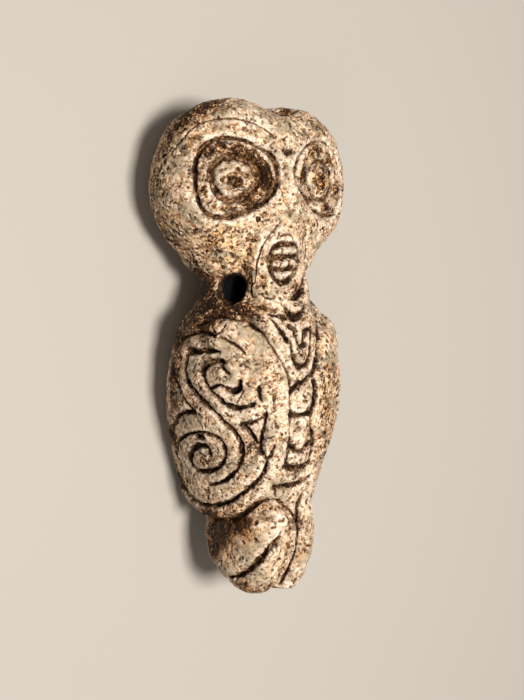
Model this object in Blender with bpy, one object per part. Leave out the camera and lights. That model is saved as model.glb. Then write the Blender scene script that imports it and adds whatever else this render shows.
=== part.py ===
"""A small owl idol, carved in the round from one piece of stone and bored through the neck.

It lies on its back: +Z is the owl's front, +Y its crown, and +X its own left side.

The figure is drawn in steps, 481 of them from its feet to its crown. Side is measured from the
owl's middle, height from its feet, front from the axis of its body, and an angle turns round
that axis from the front. Its proportions are shares of its own length, as on any carving.
"""

import math

import bmesh
import bpy
import numpy as np
from mathutils import Vector
from mathutils.bvhtree import BVHTree
from mathutils.kdtree import KDTree

# Driving sizes, in metres.
FIGURE_LENGTH = 0.078
HOLE_MOUTH_RADIUS = 0.00215
HOLE_THROAT_RADIUS = 0.00150

# The drawing's step. The sizes and places below are in steps.
STEPS_TALL = 481.0
STEP = FIGURE_LENGTH / STEPS_TALL

# From the axis of the body back to the worn flats that the idol lies on.
REST_DEPTH = 66.0

# How finely the stone is worked.
MASS_GRID = 1.8
BLANK_VOXEL = 2.1
SOFTENING_PASSES = 14
STROKE_SAMPLE = 1.0
TRIANGLES = 9300
DRILL_SIDES = 32
SHARP_ANGLE = 35.0

# Colour and finish of the stone.
STONE_COLOUR = (0.47, 0.36, 0.24, 1.0)
STONE_ROUGHNESS = 0.8

# The masses of the figure, top to bottom. Each row is
# (height, half width, front, back, squareness of the front, squareness of the back).
LOBE = [
    (481, 0, 22, -22, 2.0, 2.0),
    (479, 19, 31, -4, 2.0, 2.0),
    (472, 36, 40, 23, 2.1, 2.0),
    (458, 54, 50, 46, 2.2, 2.1),
    (436, 65, 59, 61, 2.2, 2.1),
    (408, 71, 64, 68, 2.2, 2.1),
    (378, 69, 63, 68, 2.2, 2.1),
    (352, 56, 51, 61, 2.2, 2.1),
    (333, 40, 40, 51, 2.1, 2.1),
    (316, 28, 36, 38, 2.0, 2.0),
    (306, 0, 0, 0, 2.0, 2.0),
]
LOBE_SIDE = 31.0
LEFT_CROWN_WEAR = 4.0
LEFT_CROWN_FROM = 436.0

FACE = [
    (465, 0, 40, -40, 2.0, 2.0),
    (461, 24, 50, -28, 2.0, 2.0),
    (446, 36, 60, -14, 2.0, 2.0),
    (420, 38, 66, 0, 2.0, 2.0),
    (375, 34, 66, 0, 2.1, 2.0),
    (345, 30, 63, 0, 2.5, 2.0),
    (315, 33, 62, 0, 2.9, 2.0),
    (298, 35, 66, 0, 2.9, 2.0),
    (286, 33, 73, 0, 2.6, 2.0),
    (276, 25, 78, 0, 2.3, 2.0),
    (271, 0, 58, -58, 2.0, 2.0),
]

TORSO = [
    (374, 0, 4, 4, 2.0, 2.0),
    (366, 42, 38, 42, 2.0, 2.0),
    (345, 53, 47, 52, 2.0, 2.1),
    (325, 51, 47, 49, 2.0, 2.1),
    (305, 50, 49, 47, 2.1, 2.1),
    (290, 56, 57, 46, 2.1, 2.0),
    (276, 62, 70, 47, 2.1, 2.1),
    (262, 66, 78, 52, 2.1, 2.3),
    (246, 69, 83, 57, 2.0, 2.5),
    (209, 73, 86, 61, 2.0, 2.9),
    (165, 67, 85, 64, 2.0, 3.6),
    (125, 54, 79, 65, 2.0, 4.2),
    (99, 47, 71, 64, 2.0, 4.1),
    (84, 45, 62, 58, 2.1, 3.7),
    (68, 36, 56, 44, 2.1, 2.6),
    (56, 0, 10, 10, 2.0, 2.0),
]

LEG = [
    (115, 0, 34, 0, 2.0, 2.0),
    (110, 19, 50, 19, 2.1, 2.1),
    (98, 24, 62, 31, 2.2, 2.2),
    (80, 26, 70, 38, 2.3, 2.2),
    (60, 27, 72, 42, 2.3, 2.2),
    (42, 27, 67, 39, 2.3, 2.2),
    (26, 25, 60, 29, 2.2, 2.1),
    (12, 20, 53, 11, 2.1, 2.0),
    (4, 12, 46, -8, 2.0, 2.0),
    (0, 0, 25, -25, 2.0, 2.0),
]
LEG_SIDE = 16.0

# The folded wings stand proud of the torso. The thickness and the lower edge are given as
# (angle, steps), and the front edge as (height, angle).
WING_THICKNESS = [(0, 3), (14, 3), (50, 9), (180, 9)]
WING_FRONT_EDGE = [
    (71, 13),
    (110, 13),
    (126, 10),
    (150, 9),
    (203, 9),
    (218, 11),
    (235, 18),
    (256, 26),
    (268, 42),
    (275, 70),
]
WING_LOWER_EDGE = [(0, 92), (10, 94), (26, 90), (50, 76), (75, 70), (105, 70), (125, 76), (180, 88)]
WING_TOP = 279.0
WING_BACK_EDGE = 172.0
WING_FRONT_ROUNDING = 5.0
WING_LOWER_ROUNDING = 13.0
WING_TOP_ROUNDING = 24.0
BODY_RADIUS = 85.0

# The eyes: a flat disc with a ring, an inner ring and a pupil drilled in it.
EYE_SIDE = 49.0
EYE_HEIGHT = 402.0
EYE_FRONT = 49.5
EYE_TURN = 17.0
EYE_FLAT_EDGE = 4.0
FLAT_FADE_FROM = 330.0
FLAT_FADE_OVER = 15.0
EYE_RING = (39.0, 36.0)
EYE_CORNER_SQUARENESS = 1.65
IRIS_RING = (21.0, 19.0)
BROW_RING = (49.0, 55.0)
BROW_ARC = (30.0, 138.0)

# The ladder cut across the beak, and the column of beads down the breast.
LADDER_HALF_WIDTH = 15.0
LADDER_RUNGS = (341.0, 329.0, 317.0)
LADDER_RAIL_END = 312.0
LADDER_FOOT = 302.0
BEAK_TIP = (0.0, 284.0)
BEAK_TIP_RADIUS = 13.0
BEAK_TIP_ARC = (185.0, 355.0)
BEAD_HALF_WIDTH = 13.0
BEAD_CUTS = (207.0, 179.0, 145.0, 130.0, 112.0)
BEAD_SAG = 3.0

# Strokes on the front, as (side, height) points. All but the beak's chip are cut on both sides.
CHEEK_LINE = [(9, 364), (19, 350), (27, 333), (31, 314), (36, 294), (33, 280), (27, 275), (12, 274)]
COLLAR_LINE = [(25, 273), (15, 253), (11, 240), (7, 222), (0, 212)]
BIB_LINE = [(20, 268), (16, 249), (10, 234), (0, 228)]
GUSSET_LINE = [(9, 260), (5, 252), (0, 245)]
LEG_PARTING_LINE = [(0, 92), (3, 84)]
BEAK_CHIP_LINE = [(13, 301), (9, 293), (-1, 289)]

# The hooked scrolls of a wing, as (angle, height) points. The right wing mirrors the left's.
SHOULDER_LINE = [(41, 245), (54, 254), (72, 258), (90, 252), (102, 240), (104, 228), (97, 210), (79, 184)]
LONG_HOOK_LINE = [
    (57, 241),
    (72, 240),
    (83, 233),
    (83, 218),
    (75, 202),
    (63, 185),
    (50, 170),
    (41, 155),
    (40, 142),
    (45, 126),
    (57, 114),
    (72, 108),
    (86, 107),
]
SMALL_HOOK_LINE = [(48, 219), (54, 231), (62, 229), (67, 220), (64, 208), (55, 196), (44, 188), (32, 192)]
HEM_LINE = [(19, 154), (22, 136), (29, 115), (40, 104), (59, 93), (82, 87), (107, 86)]
SPIRAL_LINE = [
    (109, 149),
    (92, 157),
    (70, 162),
    (54, 150),
    (56, 134),
    (70, 123),
    (88, 122),
    (97, 131),
    (88, 140),
    (74, 145),
    (66, 141),
    (70, 134),
    (77, 133),
]
WING_TIP_LINE = [(74, 180), (89, 176), (103, 169), (115, 158)]
HEM_NOTCH_LINE = [(110, 150), (120, 137), (126, 124), (121, 112)]

# The right wing's slot and triangle, both wings' front edge and the cut across the right shin,
# as (angle, height) points.
PANEL_SLOT_LINE = [(29, 206), (28, 195)]
PANEL_CORNERS = [(25, 179), (40, 174), (28, 142)]
PANEL_FRONT_LINE = [(25, 179), (25, 162), (28, 142)]
FRONT_EDGE_LINE = [(42, 268), (26, 256), (17, 236), (10, 212), (9, 150), (10, 126), (17, 102)]
SHIN_LINE = [(68, 13), (49, 19), (36, 29), (26, 42), (19, 54), (11, 59)]

# The small curl inside a wing's scrolls.
CURL = (45.0, 209.0)
CURL_RING = (6.0, 7.0)
CURL_ARC = (190.0, 370.0)

# The left wing's scrolls sit this much further round than the right wing's, in degrees.
LEFT_SCROLL_SHIFT = 15.0

# The hole was bored from both sides of the neck. Each bore slants in from its mouth, this far
# off the front in degrees, and the two meet in the middle.
HOLE_HEIGHT = 298.0
HOLE_SIDE = 43.0
HOLE_FRONT = 33.0
HOLE_SLANT = 64.0

# Each kind of stroke has a half width and a depth.
PUPIL = (5.0, 6.0)
DEEP = (4.6, 4.6)
BROAD = (6.6, 5.4)
IRIS = (5.6, 4.4)
PLAIN = (3.6, 3.4)
FINE = (2.8, 1.3)


def smooth_through(knots, values, at):
    """A smooth curve through the values at the knots, read at other places."""
    slope = np.gradient(values, knots)
    low = np.clip(np.searchsorted(knots, at) - 1, 0, len(knots) - 2)
    gap = knots[low + 1] - knots[low]
    t = (at - knots[low]) / gap
    return (
        (2 * t**3 - 3 * t**2 + 1) * values[low]
        + (t**3 - 2 * t**2 + t) * gap * slope[low]
        + (3 * t**2 - 2 * t**3) * values[low + 1]
        + (t**3 - t**2) * gap * slope[low + 1]
    )


def read_table(rows, at):
    table = np.array(rows, float)
    return np.interp(at, table[:, 0], table[:, 1])


def places(mesh):
    """The mesh's vertices as rows of side, height and front."""
    flat = np.empty(len(mesh.vertices) * 3, np.float32)
    mesh.vertices.foreach_get("co", flat)
    return flat.reshape(-1, 3).astype(float)


def set_places(mesh, rows):
    mesh.vertices.foreach_set("co", rows.astype(np.float32).ravel())
    mesh.update()


def face_outwards(mesh):
    work = bmesh.new()
    work.from_mesh(mesh)
    bmesh.ops.recalc_face_normals(work, faces=work.faces)
    work.to_mesh(mesh)
    work.free()


def rounded_mass(name, rows, side):
    """A closed mass whose level sections are the given rows, shaped from a ball."""
    table = np.array(rows, float)
    height, half_width, front, back = table[:, 0], table[:, 1], table[:, 2], table[:, 3]
    girth = (half_width + (front + back) / 2) / 2
    knots = np.concatenate([[0], np.cumsum(np.hypot(np.diff(height), np.diff(girth)))])
    around = int(2 * math.pi * girth.max() / MASS_GRID)
    along = int(knots[-1] / MASS_GRID)

    work = bmesh.new()
    bmesh.ops.create_uvsphere(work, u_segments=around, v_segments=along, radius=1.0)
    mesh = bpy.data.meshes.new(name)
    work.to_mesh(mesh)
    work.free()

    ball = places(mesh)
    share = np.arccos(np.clip(ball[:, 2], -1, 1)) / math.pi
    turn = np.arctan2(ball[:, 0], ball[:, 1])
    at = share * knots[-1]
    height, half_width, front, back, square_front, square_back = (
        smooth_through(knots, column, at) for column in table.T
    )
    middle = (front - back) / 2
    half_depth = np.maximum((front + back) / 2, 0)
    half_width = np.maximum(half_width, 0)
    squareness = np.where(np.cos(turn) > 0, square_front, square_back)
    reach = (np.abs(np.sin(turn)) ** squareness + np.abs(np.cos(turn)) ** squareness) ** (-1 / squareness)
    across = side + half_width * np.sin(turn) * reach
    forward = middle + half_depth * np.cos(turn) * reach
    set_places(mesh, np.stack([across, height, forward], 1))
    face_outwards(mesh)
    return mesh


def rounded_edge(inside, rounding):
    """0 outside an edge and 1 well inside it, rising as a quarter circle."""
    t = np.clip(inside / rounding, 0, 1)
    return np.sqrt(1 - (1 - t) ** 2)


def raise_wings(mesh):
    """Lifts the folded wings off the sides and the back of the torso."""
    spot = places(mesh)
    angle = np.degrees(np.arctan2(np.abs(spot[:, 0]), spot[:, 2]))
    along_body = math.radians(1) * BODY_RADIUS
    past_front = (angle - read_table(WING_FRONT_EDGE, spot[:, 1])) * along_body
    past_back = (WING_BACK_EDGE - angle) * along_body
    above_lower = spot[:, 1] - read_table(WING_LOWER_EDGE, angle)
    below_top = WING_TOP - spot[:, 1]
    lift = (
        read_table(WING_THICKNESS, angle)
        * rounded_edge(past_front, WING_FRONT_ROUNDING)
        * rounded_edge(past_back, WING_FRONT_ROUNDING)
        * rounded_edge(above_lower, WING_LOWER_ROUNDING)
        * rounded_edge(below_top, WING_TOP_ROUNDING)
    )
    outward = np.stack([spot[:, 0], np.zeros(len(spot)), spot[:, 2]], 1)
    outward /= np.maximum(np.linalg.norm(outward, axis=1), 1e-6)[:, None]
    set_places(mesh, spot + outward * lift[:, None])


def flatten_eye(mesh, side):
    """Cuts the flat disc of an eye on the front of its lobe of the head."""
    spot = places(mesh)
    turn = math.radians(EYE_TURN)
    facing = np.array([side * math.sin(turn), 0, math.cos(turn)])
    centre = np.array([side * EYE_SIDE, EYE_HEIGHT, EYE_FRONT])
    proud = (spot - centre) @ facing
    cut = EYE_FLAT_EDGE * np.logaddexp(0, proud / EYE_FLAT_EDGE)
    on_head = np.clip((spot[:, 1] - FLAT_FADE_FROM) / FLAT_FADE_OVER, 0, 1) * (spot[:, 2] > 0)
    set_places(mesh, spot - np.outer(cut * on_head, facing))


def wear_crown(mesh):
    """The crown is worn lower on the left."""
    spot = places(mesh)
    worn_part = spot[:, 1].max() - LEFT_CROWN_FROM
    spot[:, 1] -= LEFT_CROWN_WEAR * np.clip((spot[:, 1] - LEFT_CROWN_FROM) / worn_part, 0, 1)
    set_places(mesh, spot)


def fused_blank():
    """The uncarved figure: its masses worked into one stone."""
    masses = []
    for side in (-1, 1):
        lobe = rounded_mass("lobe", LOBE, side * LOBE_SIDE)
        flatten_eye(lobe, side)
        if side > 0:
            wear_crown(lobe)
        masses.append(lobe)
        masses.append(rounded_mass("leg", LEG, side * LEG_SIDE))
    torso = rounded_mass("torso", TORSO, 0)
    raise_wings(torso)
    masses.append(torso)
    masses.append(rounded_mass("face", FACE, 0))

    work = bmesh.new()
    for mesh in masses:
        work.from_mesh(mesh)
        bpy.data.meshes.remove(mesh)
    stone = bpy.data.meshes.new("owl_idol")
    work.to_mesh(stone)
    work.free()
    set_places(stone, places(stone) * STEP)

    blank = bpy.data.objects.new("owl_idol", stone)
    bpy.context.scene.collection.objects.link(blank)
    fuse = blank.modifiers.new("fuse", "REMESH")
    fuse.mode = "VOXEL"
    fuse.voxel_size = BLANK_VOXEL * STEP
    soften = blank.modifiers.new("soften", "SMOOTH")
    soften.iterations = SOFTENING_PASSES
    settle(blank)
    return blank


def settle(obj):
    """Makes an object's modifiers its own mesh."""
    graph = bpy.context.evaluated_depsgraph_get()
    finished = bpy.data.meshes.new_from_object(obj.evaluated_get(graph))
    obj.modifiers.clear()
    obj.data = finished


def curve(points):
    """A smooth line through a few points of the drawing."""
    chain = np.array(points, float)
    knots = np.concatenate([[0], np.cumsum(np.linalg.norm(np.diff(chain, axis=0), axis=1))])
    at = np.linspace(0, knots[-1], max(3, int(knots[-1] / STROKE_SAMPLE)))
    if len(chain) == 2:
        return np.stack([np.interp(at, knots, column) for column in chain.T], 1)
    return np.stack([smooth_through(knots, column, at) for column in chain.T], 1)


def ring(centre, radii, start=0.0, end=360.0, inner_squareness=2.0):
    """An arc of an oval, from start to end in degrees. Its side towards the middle may be pointed."""
    count = max(8, int(abs(end - start) * max(radii) / 57 / STROKE_SAMPLE))
    turn = np.radians(np.linspace(start, end, count))
    squareness = np.where(np.cos(turn) < 0, inner_squareness, 2.0)
    reach = (np.abs(np.cos(turn)) ** squareness + np.abs(np.sin(turn)) ** squareness) ** (-1 / squareness)
    across = centre[0] + radii[0] * np.cos(turn) * reach
    up = centre[1] + radii[1] * np.sin(turn) * reach
    return np.stack([across, up], 1)


def front_strokes():
    """Strokes on the front, as (side, height) lines, each with its kind."""
    strokes = []
    for side in (-1, 1):
        mirror = np.array([side, 1.0])
        eye = (EYE_SIDE, EYE_HEIGHT)
        eye_ring = ring(eye, EYE_RING, inner_squareness=EYE_CORNER_SQUARENESS)
        strokes.append((eye_ring * mirror, DEEP))
        strokes.append((ring(eye, IRIS_RING) * mirror, IRIS))
        strokes.append((np.array([eye]) * mirror, PUPIL))
        brow = ring(eye, BROW_RING, *BROW_ARC)
        strokes.append((brow * mirror, FINE))
        strokes.append((curve(CHEEK_LINE) * mirror, PLAIN))
        strokes.append((curve(COLLAR_LINE) * mirror, PLAIN))
        strokes.append((curve(BIB_LINE) * mirror, PLAIN))
        strokes.append((curve(GUSSET_LINE) * mirror, DEEP))
        strokes.append((curve(LEG_PARTING_LINE) * mirror, PLAIN))
    beak_tip = ring(BEAK_TIP, (BEAK_TIP_RADIUS, BEAK_TIP_RADIUS), *BEAK_TIP_ARC)
    strokes.append((beak_tip, PLAIN))
    strokes.append((curve(BEAK_CHIP_LINE), PLAIN))
    strokes += beak_ladder()
    strokes += breast_beads()
    return strokes


def beak_ladder():
    """Rungs cut across the beak, between rails that meet below in a chevron."""
    strokes = []
    for rung in LADDER_RUNGS:
        strokes.append((curve([(-LADDER_HALF_WIDTH, rung), (LADDER_HALF_WIDTH, rung)]), PLAIN))
    for side in (-LADDER_HALF_WIDTH, LADDER_HALF_WIDTH):
        rail = curve([(side, LADDER_RUNGS[0]), (side, LADDER_RAIL_END), (0, LADDER_FOOT)])
        strokes.append((rail, PLAIN))
    return strokes


def breast_beads():
    """Sagging cuts that part the beads down the breast, between the wings."""
    strokes = []
    for cut in BEAD_CUTS:
        sagging = curve([(-BEAD_HALF_WIDTH, cut), (0, cut - BEAD_SAG), (BEAD_HALF_WIDTH, cut)])
        strokes.append((sagging, DEEP))
    return strokes


def wing_scrolls():
    """The hooked scrolls of one wing."""
    deep = (SHOULDER_LINE, LONG_HOOK_LINE, SMALL_HOOK_LINE, HEM_LINE, SPIRAL_LINE, WING_TIP_LINE)
    strokes = [(curve(points), DEEP) for points in deep]
    strokes.append((ring(CURL, CURL_RING, *CURL_ARC), DEEP))
    strokes.append((curve(HEM_NOTCH_LINE), PLAIN))
    return strokes


def wing_panel():
    """The slot and the triangle on the right wing's front."""
    slot = curve(PANEL_SLOT_LINE)
    top = curve(PANEL_CORNERS[:2])
    back = curve(PANEL_CORNERS[1:])
    front = curve(PANEL_FRONT_LINE)
    return [(slot, PLAIN), (top, PLAIN), (back, PLAIN), (front, DEEP)]


def wing_strokes():
    """Strokes that wrap round the body, as (angle, height) lines, each with its kind."""
    front_edge = curve(FRONT_EDGE_LINE)
    right = np.array([-1.0, 1.0])
    further_round = np.array([LEFT_SCROLL_SHIFT, 0.0])
    strokes = [(line * right, kind) for line, kind in wing_scrolls() + wing_panel()]
    strokes += [(line + further_round, kind) for line, kind in wing_scrolls()]
    strokes.append((front_edge * right, PLAIN))
    strokes.append((front_edge, DEEP))
    strokes.append((curve(SHIN_LINE) * right, BROAD))
    return strokes


def onto_front(tree, line):
    """Lays a line of (side, height) points on the front of the stone."""
    above = 1.0
    for side, height in line:
        hit = tree.ray_cast(Vector((side * STEP, height * STEP, above)), Vector((0, 0, -1)))[0]
        if hit:
            yield hit


def round_body(tree, line):
    """Lays a line of (angle, height) points on the stone, seen from the body's axis."""
    far = 1.0
    for angle, height in line:
        outward = Vector((math.sin(math.radians(angle)), 0, math.cos(math.radians(angle))))
        axis = Vector((0, height * STEP, 0))
        hit = tree.ray_cast(axis + outward * far, -outward)[0]
        if hit:
            yield hit


def carve(stone):
    """Cuts the strokes into the stone."""
    mesh = stone.data
    tree = BVHTree.FromObject(stone, bpy.context.evaluated_depsgraph_get())
    spot = places(mesh)
    nearby = KDTree(len(spot))
    for number, place in enumerate(spot):
        nearby.insert(place, number)
    nearby.balance()

    laid = [(list(onto_front(tree, line)), size) for line, size in front_strokes()]
    laid += [(list(round_body(tree, line)), size) for line, size in wing_strokes()]
    cut = np.zeros(len(spot))
    for line, (half_width, depth) in laid:
        reach = half_width * STEP
        near = {}
        for point in line:
            for _, number, distance in nearby.find_range(point, reach):
                near[number] = min(near.get(number, reach), distance)
        for number, distance in near.items():
            share = 0.5 + 0.5 * math.cos(math.pi * distance / reach)
            cut[number] = max(cut[number], depth * STEP * share)

    normal = np.empty(len(spot) * 3, np.float32)
    mesh.vertices.foreach_get("normal", normal)
    set_places(mesh, spot - normal.reshape(-1, 3) * cut[:, None])


def thin_out(stone):
    """Leaves only as many facets as the carving needs, most of them along the strokes."""
    stone.data.calc_loop_triangles()
    split = stone.modifiers.new("split", "TRIANGULATE")
    split.quad_method = "SHORTEST_DIAGONAL"
    thin = stone.modifiers.new("thin", "DECIMATE")
    thin.ratio = TRIANGLES / len(stone.data.loop_triangles)
    settle(stone)


def cutter(name):
    mesh = bpy.data.meshes.new(name)
    obj = bpy.data.objects.new(name, mesh)
    obj.hide_render = True
    obj.display_type = "WIRE"
    bpy.context.scene.collection.objects.link(obj)
    return obj


def neck_drill(side):
    """A tapering drill from one side of the neck to its middle, where both bores meet."""
    slant = math.radians(HOLE_SLANT)
    outward = Vector((side * math.sin(slant), 0, math.cos(slant)))
    mouth = Vector((side * HOLE_SIDE, HOLE_HEIGHT, HOLE_FRONT)) * STEP
    bore = HOLE_SIDE * STEP / math.sin(slant)
    flare = (HOLE_MOUTH_RADIUS - HOLE_THROAT_RADIUS) / bore
    past_middle, past_mouth = HOLE_THROAT_RADIUS, bore / 2
    length = bore + past_middle + past_mouth
    drill = cutter(f"neck_drill_{side:+d}")
    work = bmesh.new()
    bmesh.ops.create_cone(
        work,
        cap_ends=True,
        segments=DRILL_SIDES,
        radius1=HOLE_THROAT_RADIUS - past_middle * flare,
        radius2=HOLE_MOUTH_RADIUS + past_mouth * flare,
        depth=length,
    )
    work.to_mesh(drill.data)
    work.free()
    drill.rotation_mode = "QUATERNION"
    drill.rotation_quaternion = outward.to_track_quat("Z", "Y")
    drill.location = mouth + outward * (past_mouth - length / 2)
    return drill


def rest_block():
    """A block whose top is the plane of the worn flats on the back."""
    size = 2 * FIGURE_LENGTH
    block = cutter("rest_block")
    work = bmesh.new()
    bmesh.ops.create_cube(work, size=size)
    middle = (0, FIGURE_LENGTH / 2, -REST_DEPTH * STEP - size / 2)
    bmesh.ops.translate(work, verts=work.verts, vec=middle)
    work.to_mesh(block.data)
    work.free()
    return block


def cut_away(stone, tool):
    cut = stone.modifiers.new(tool.name, "BOOLEAN")
    cut.operation = "DIFFERENCE"
    cut.solver = "EXACT"
    cut.object = tool


def stone_material():
    stone = bpy.data.materials.new("stone")
    stone.use_nodes = True
    shader = stone.node_tree.nodes["Principled BSDF"]
    shader.inputs["Base Color"].default_value = STONE_COLOUR
    shader.inputs["Roughness"].default_value = STONE_ROUGHNESS
    shader.inputs["Metallic"].default_value = 0.0
    return stone


def lay_down(stone):
    """Puts the origin under the idol's middle, on what it lies on."""
    spot = places(stone.data)
    middle = (spot.min(axis=0) + spot.max(axis=0)) / 2
    base = np.array([middle[0], middle[1], spot[:, 2].min()])
    set_places(stone.data, spot - base)


def build_idol():
    for obj in list(bpy.data.objects):
        bpy.data.objects.remove(obj)
    stone = fused_blank()
    carve(stone)
    thin_out(stone)
    cut_away(stone, neck_drill(-1))
    cut_away(stone, neck_drill(1))
    cut_away(stone, rest_block())
    settle(stone)
    lay_down(stone)
    stone.data.materials.clear()
    stone.data.materials.append(stone_material())
    stone.data.shade_smooth()
    stone.data.set_sharp_from_angle(angle=math.radians(SHARP_ANGLE))
    return stone


idol = build_idol()
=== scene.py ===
import math
import random

import bpy
import numpy as np
from mathutils import Matrix, Vector, noise
from mathutils.bvhtree import BVHTree
from mathutils.kdtree import KDTree


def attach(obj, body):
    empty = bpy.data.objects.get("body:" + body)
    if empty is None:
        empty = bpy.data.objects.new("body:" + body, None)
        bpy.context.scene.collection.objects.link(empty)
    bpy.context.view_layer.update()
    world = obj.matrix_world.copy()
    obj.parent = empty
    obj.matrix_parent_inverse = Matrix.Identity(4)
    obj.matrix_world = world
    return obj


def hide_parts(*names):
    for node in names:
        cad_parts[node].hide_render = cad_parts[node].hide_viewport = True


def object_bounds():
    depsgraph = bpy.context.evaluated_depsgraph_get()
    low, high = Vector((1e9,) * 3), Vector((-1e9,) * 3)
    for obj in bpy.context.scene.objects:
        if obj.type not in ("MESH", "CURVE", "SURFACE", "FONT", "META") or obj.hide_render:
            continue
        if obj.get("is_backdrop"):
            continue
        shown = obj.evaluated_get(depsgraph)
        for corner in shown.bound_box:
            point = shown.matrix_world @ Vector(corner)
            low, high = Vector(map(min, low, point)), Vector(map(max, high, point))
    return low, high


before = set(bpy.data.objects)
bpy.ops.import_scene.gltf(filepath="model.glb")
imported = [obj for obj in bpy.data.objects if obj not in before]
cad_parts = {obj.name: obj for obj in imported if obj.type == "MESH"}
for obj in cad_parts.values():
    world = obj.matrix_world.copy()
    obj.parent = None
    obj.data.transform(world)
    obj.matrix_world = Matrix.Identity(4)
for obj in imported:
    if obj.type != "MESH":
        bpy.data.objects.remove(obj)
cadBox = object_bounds()
print("frame loaded")


# What the whole figure is drawn to.
figure = {
    "length": 0.078,  # metres, feet to crown
    "stepsTall": 481.0,
    "restDepth": 66.0,  # steps from the body's axis back to the flats it lies on
}
step = figure["length"] / figure["stepsTall"]

# The photograph's view. turn is degrees round from the owl's front to its right.
photoView = {
    "turn": 35.0,
    "lift": 3.0,
    "distance": 0.19309,  # metres from the eye to the point that it looks at
    "wide": 524,  # pixels
    "tall": 700,
    "across": 12.0,  # steps that the picture's middle lies beside the figure's
    "below": 3.5,
    "sensor": 36.0,  # millimetres
}


def viewDirections():
    turn, lift = math.radians(photoView["turn"]), math.radians(photoView["lift"])
    towardsEye = Vector((-math.sin(turn) * math.cos(lift), math.sin(lift), math.cos(turn) * math.cos(lift)))
    rightward = (-towardsEye).cross(Vector((0, 1, 0))).normalized()
    upward = rightward.cross(-towardsEye).normalized()
    return towardsEye, rightward, upward


towardsEye, rightward, upward = viewDirections()
bodyAxis = Vector((0, 0, figure["restDepth"] * step))
aim = bodyAxis + rightward * photoView["across"] * step - upward * photoView["below"] * step
eyePoint = aim + towardsEye * photoView["distance"]


# Small helpers for work by hand on one piece.
def pickOnly(piece):
    bpy.ops.object.select_all(action="DESELECT")
    piece.select_set(True)
    bpy.context.view_layer.objects.active = piece


def applyModifier(piece, kind, **settings):
    pickOnly(piece)
    bpy.ops.object.modifier_add(type=kind)
    modifier = piece.modifiers[-1]
    for name, value in settings.items():
        setattr(modifier, name, value)
    bpy.ops.object.modifier_apply(modifier=modifier.name)


def soften(piece, passes):
    applyModifier(piece, "SMOOTH", factor=0.5, iterations=passes)


def remesh(piece, size, passes):  # size is in steps
    applyModifier(piece, "REMESH", mode="VOXEL", voxel_size=size * step)
    soften(piece, passes)


def vectorsOf(mesh, kind):
    flat = np.empty(len(mesh.vertices) * 3, np.float32)
    mesh.vertices.foreach_get(kind, flat)
    return flat.reshape(-1, 3).astype(float)


def pointsOf(mesh):
    return vectorsOf(mesh, "co")


def normalsOf(mesh):
    return vectorsOf(mesh, "normal")


def setPoints(mesh, rows):
    mesh.vertices.foreach_set("co", rows.astype(np.float32).ravel())
    mesh.update()


def smoothThrough(knots, values, at):  # a smooth curve through the values at the knots
    slope = np.gradient(values, knots)
    low = np.clip(np.searchsorted(knots, at) - 1, 0, len(knots) - 2)
    gap = knots[low + 1] - knots[low]
    t = (at - knots[low]) / gap
    return (
        (2 * t**3 - 3 * t**2 + 1) * values[low]
        + (t**3 - 2 * t**2 + t) * gap * slope[low]
        + (3 * t**2 - 2 * t**3) * values[low + 1]
        + (t**3 - t**2) * gap * slope[low + 1]
    )


# The masses of the figure, as in the solid. Each row is
# (height, half width, front, back, squareness of the front, squareness of the back).
masses = {
    "lobe": [
        (481, 0, 22, -22, 2.0, 2.0),
        (479, 19, 31, -4, 2.0, 2.0),
        (472, 36, 40, 23, 2.1, 2.0),
        (458, 54, 50, 46, 2.2, 2.1),
        (436, 65, 59, 61, 2.2, 2.1),
        (408, 71, 64, 68, 2.2, 2.1),
        (378, 69, 63, 68, 2.2, 2.1),
        (352, 56, 51, 61, 2.2, 2.1),
        (333, 40, 40, 51, 2.1, 2.1),
        (316, 28, 36, 38, 2.0, 2.0),
        (306, 0, 0, 0, 2.0, 2.0),
    ],
    "face": [
        (465, 0, 40, -40, 2.0, 2.0),
        (461, 24, 50, -28, 2.0, 2.0),
        (446, 36, 60, -14, 2.0, 2.0),
        (420, 38, 66, 0, 2.0, 2.0),
        (375, 34, 66, 0, 2.1, 2.0),
        (345, 30, 63, 0, 2.5, 2.0),
        (315, 33, 62, 0, 2.9, 2.0),
        (298, 35, 66, 0, 2.9, 2.0),
        (286, 33, 73, 0, 2.6, 2.0),
        (276, 25, 78, 0, 2.3, 2.0),
        (271, 0, 58, -58, 2.0, 2.0),
    ],
    "torso": [
        (374, 0, 4, 4, 2.0, 2.0),
        (366, 42, 38, 42, 2.0, 2.0),
        (345, 53, 47, 52, 2.0, 2.1),
        (325, 51, 47, 49, 2.0, 2.1),
        (305, 50, 49, 47, 2.1, 2.1),
        (290, 56, 57, 46, 2.1, 2.0),
        (276, 62, 70, 47, 2.1, 2.1),
        (262, 66, 78, 52, 2.1, 2.3),
        (246, 69, 83, 57, 2.0, 2.5),
        (209, 73, 86, 61, 2.0, 2.9),
        (165, 67, 85, 64, 2.0, 3.6),
        (125, 54, 79, 65, 2.0, 4.2),
        (99, 47, 71, 64, 2.0, 4.1),
        (84, 45, 62, 58, 2.1, 3.7),
        (68, 36, 56, 44, 2.1, 2.6),
        (56, 0, 10, 10, 2.0, 2.0),
    ],
    "leg": [
        (115, 0, 34, 0, 2.0, 2.0),
        (110, 19, 50, 19, 2.1, 2.1),
        (98, 24, 62, 31, 2.2, 2.2),
        (80, 26, 70, 38, 2.3, 2.2),
        (60, 27, 72, 42, 2.3, 2.2),
        (42, 27, 67, 39, 2.3, 2.2),
        (26, 25, 60, 29, 2.2, 2.1),
        (12, 20, 53, 11, 2.1, 2.0),
        (4, 12, 46, -8, 2.0, 2.0),
        (0, 0, 25, -25, 2.0, 2.0),
    ],
}
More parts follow.
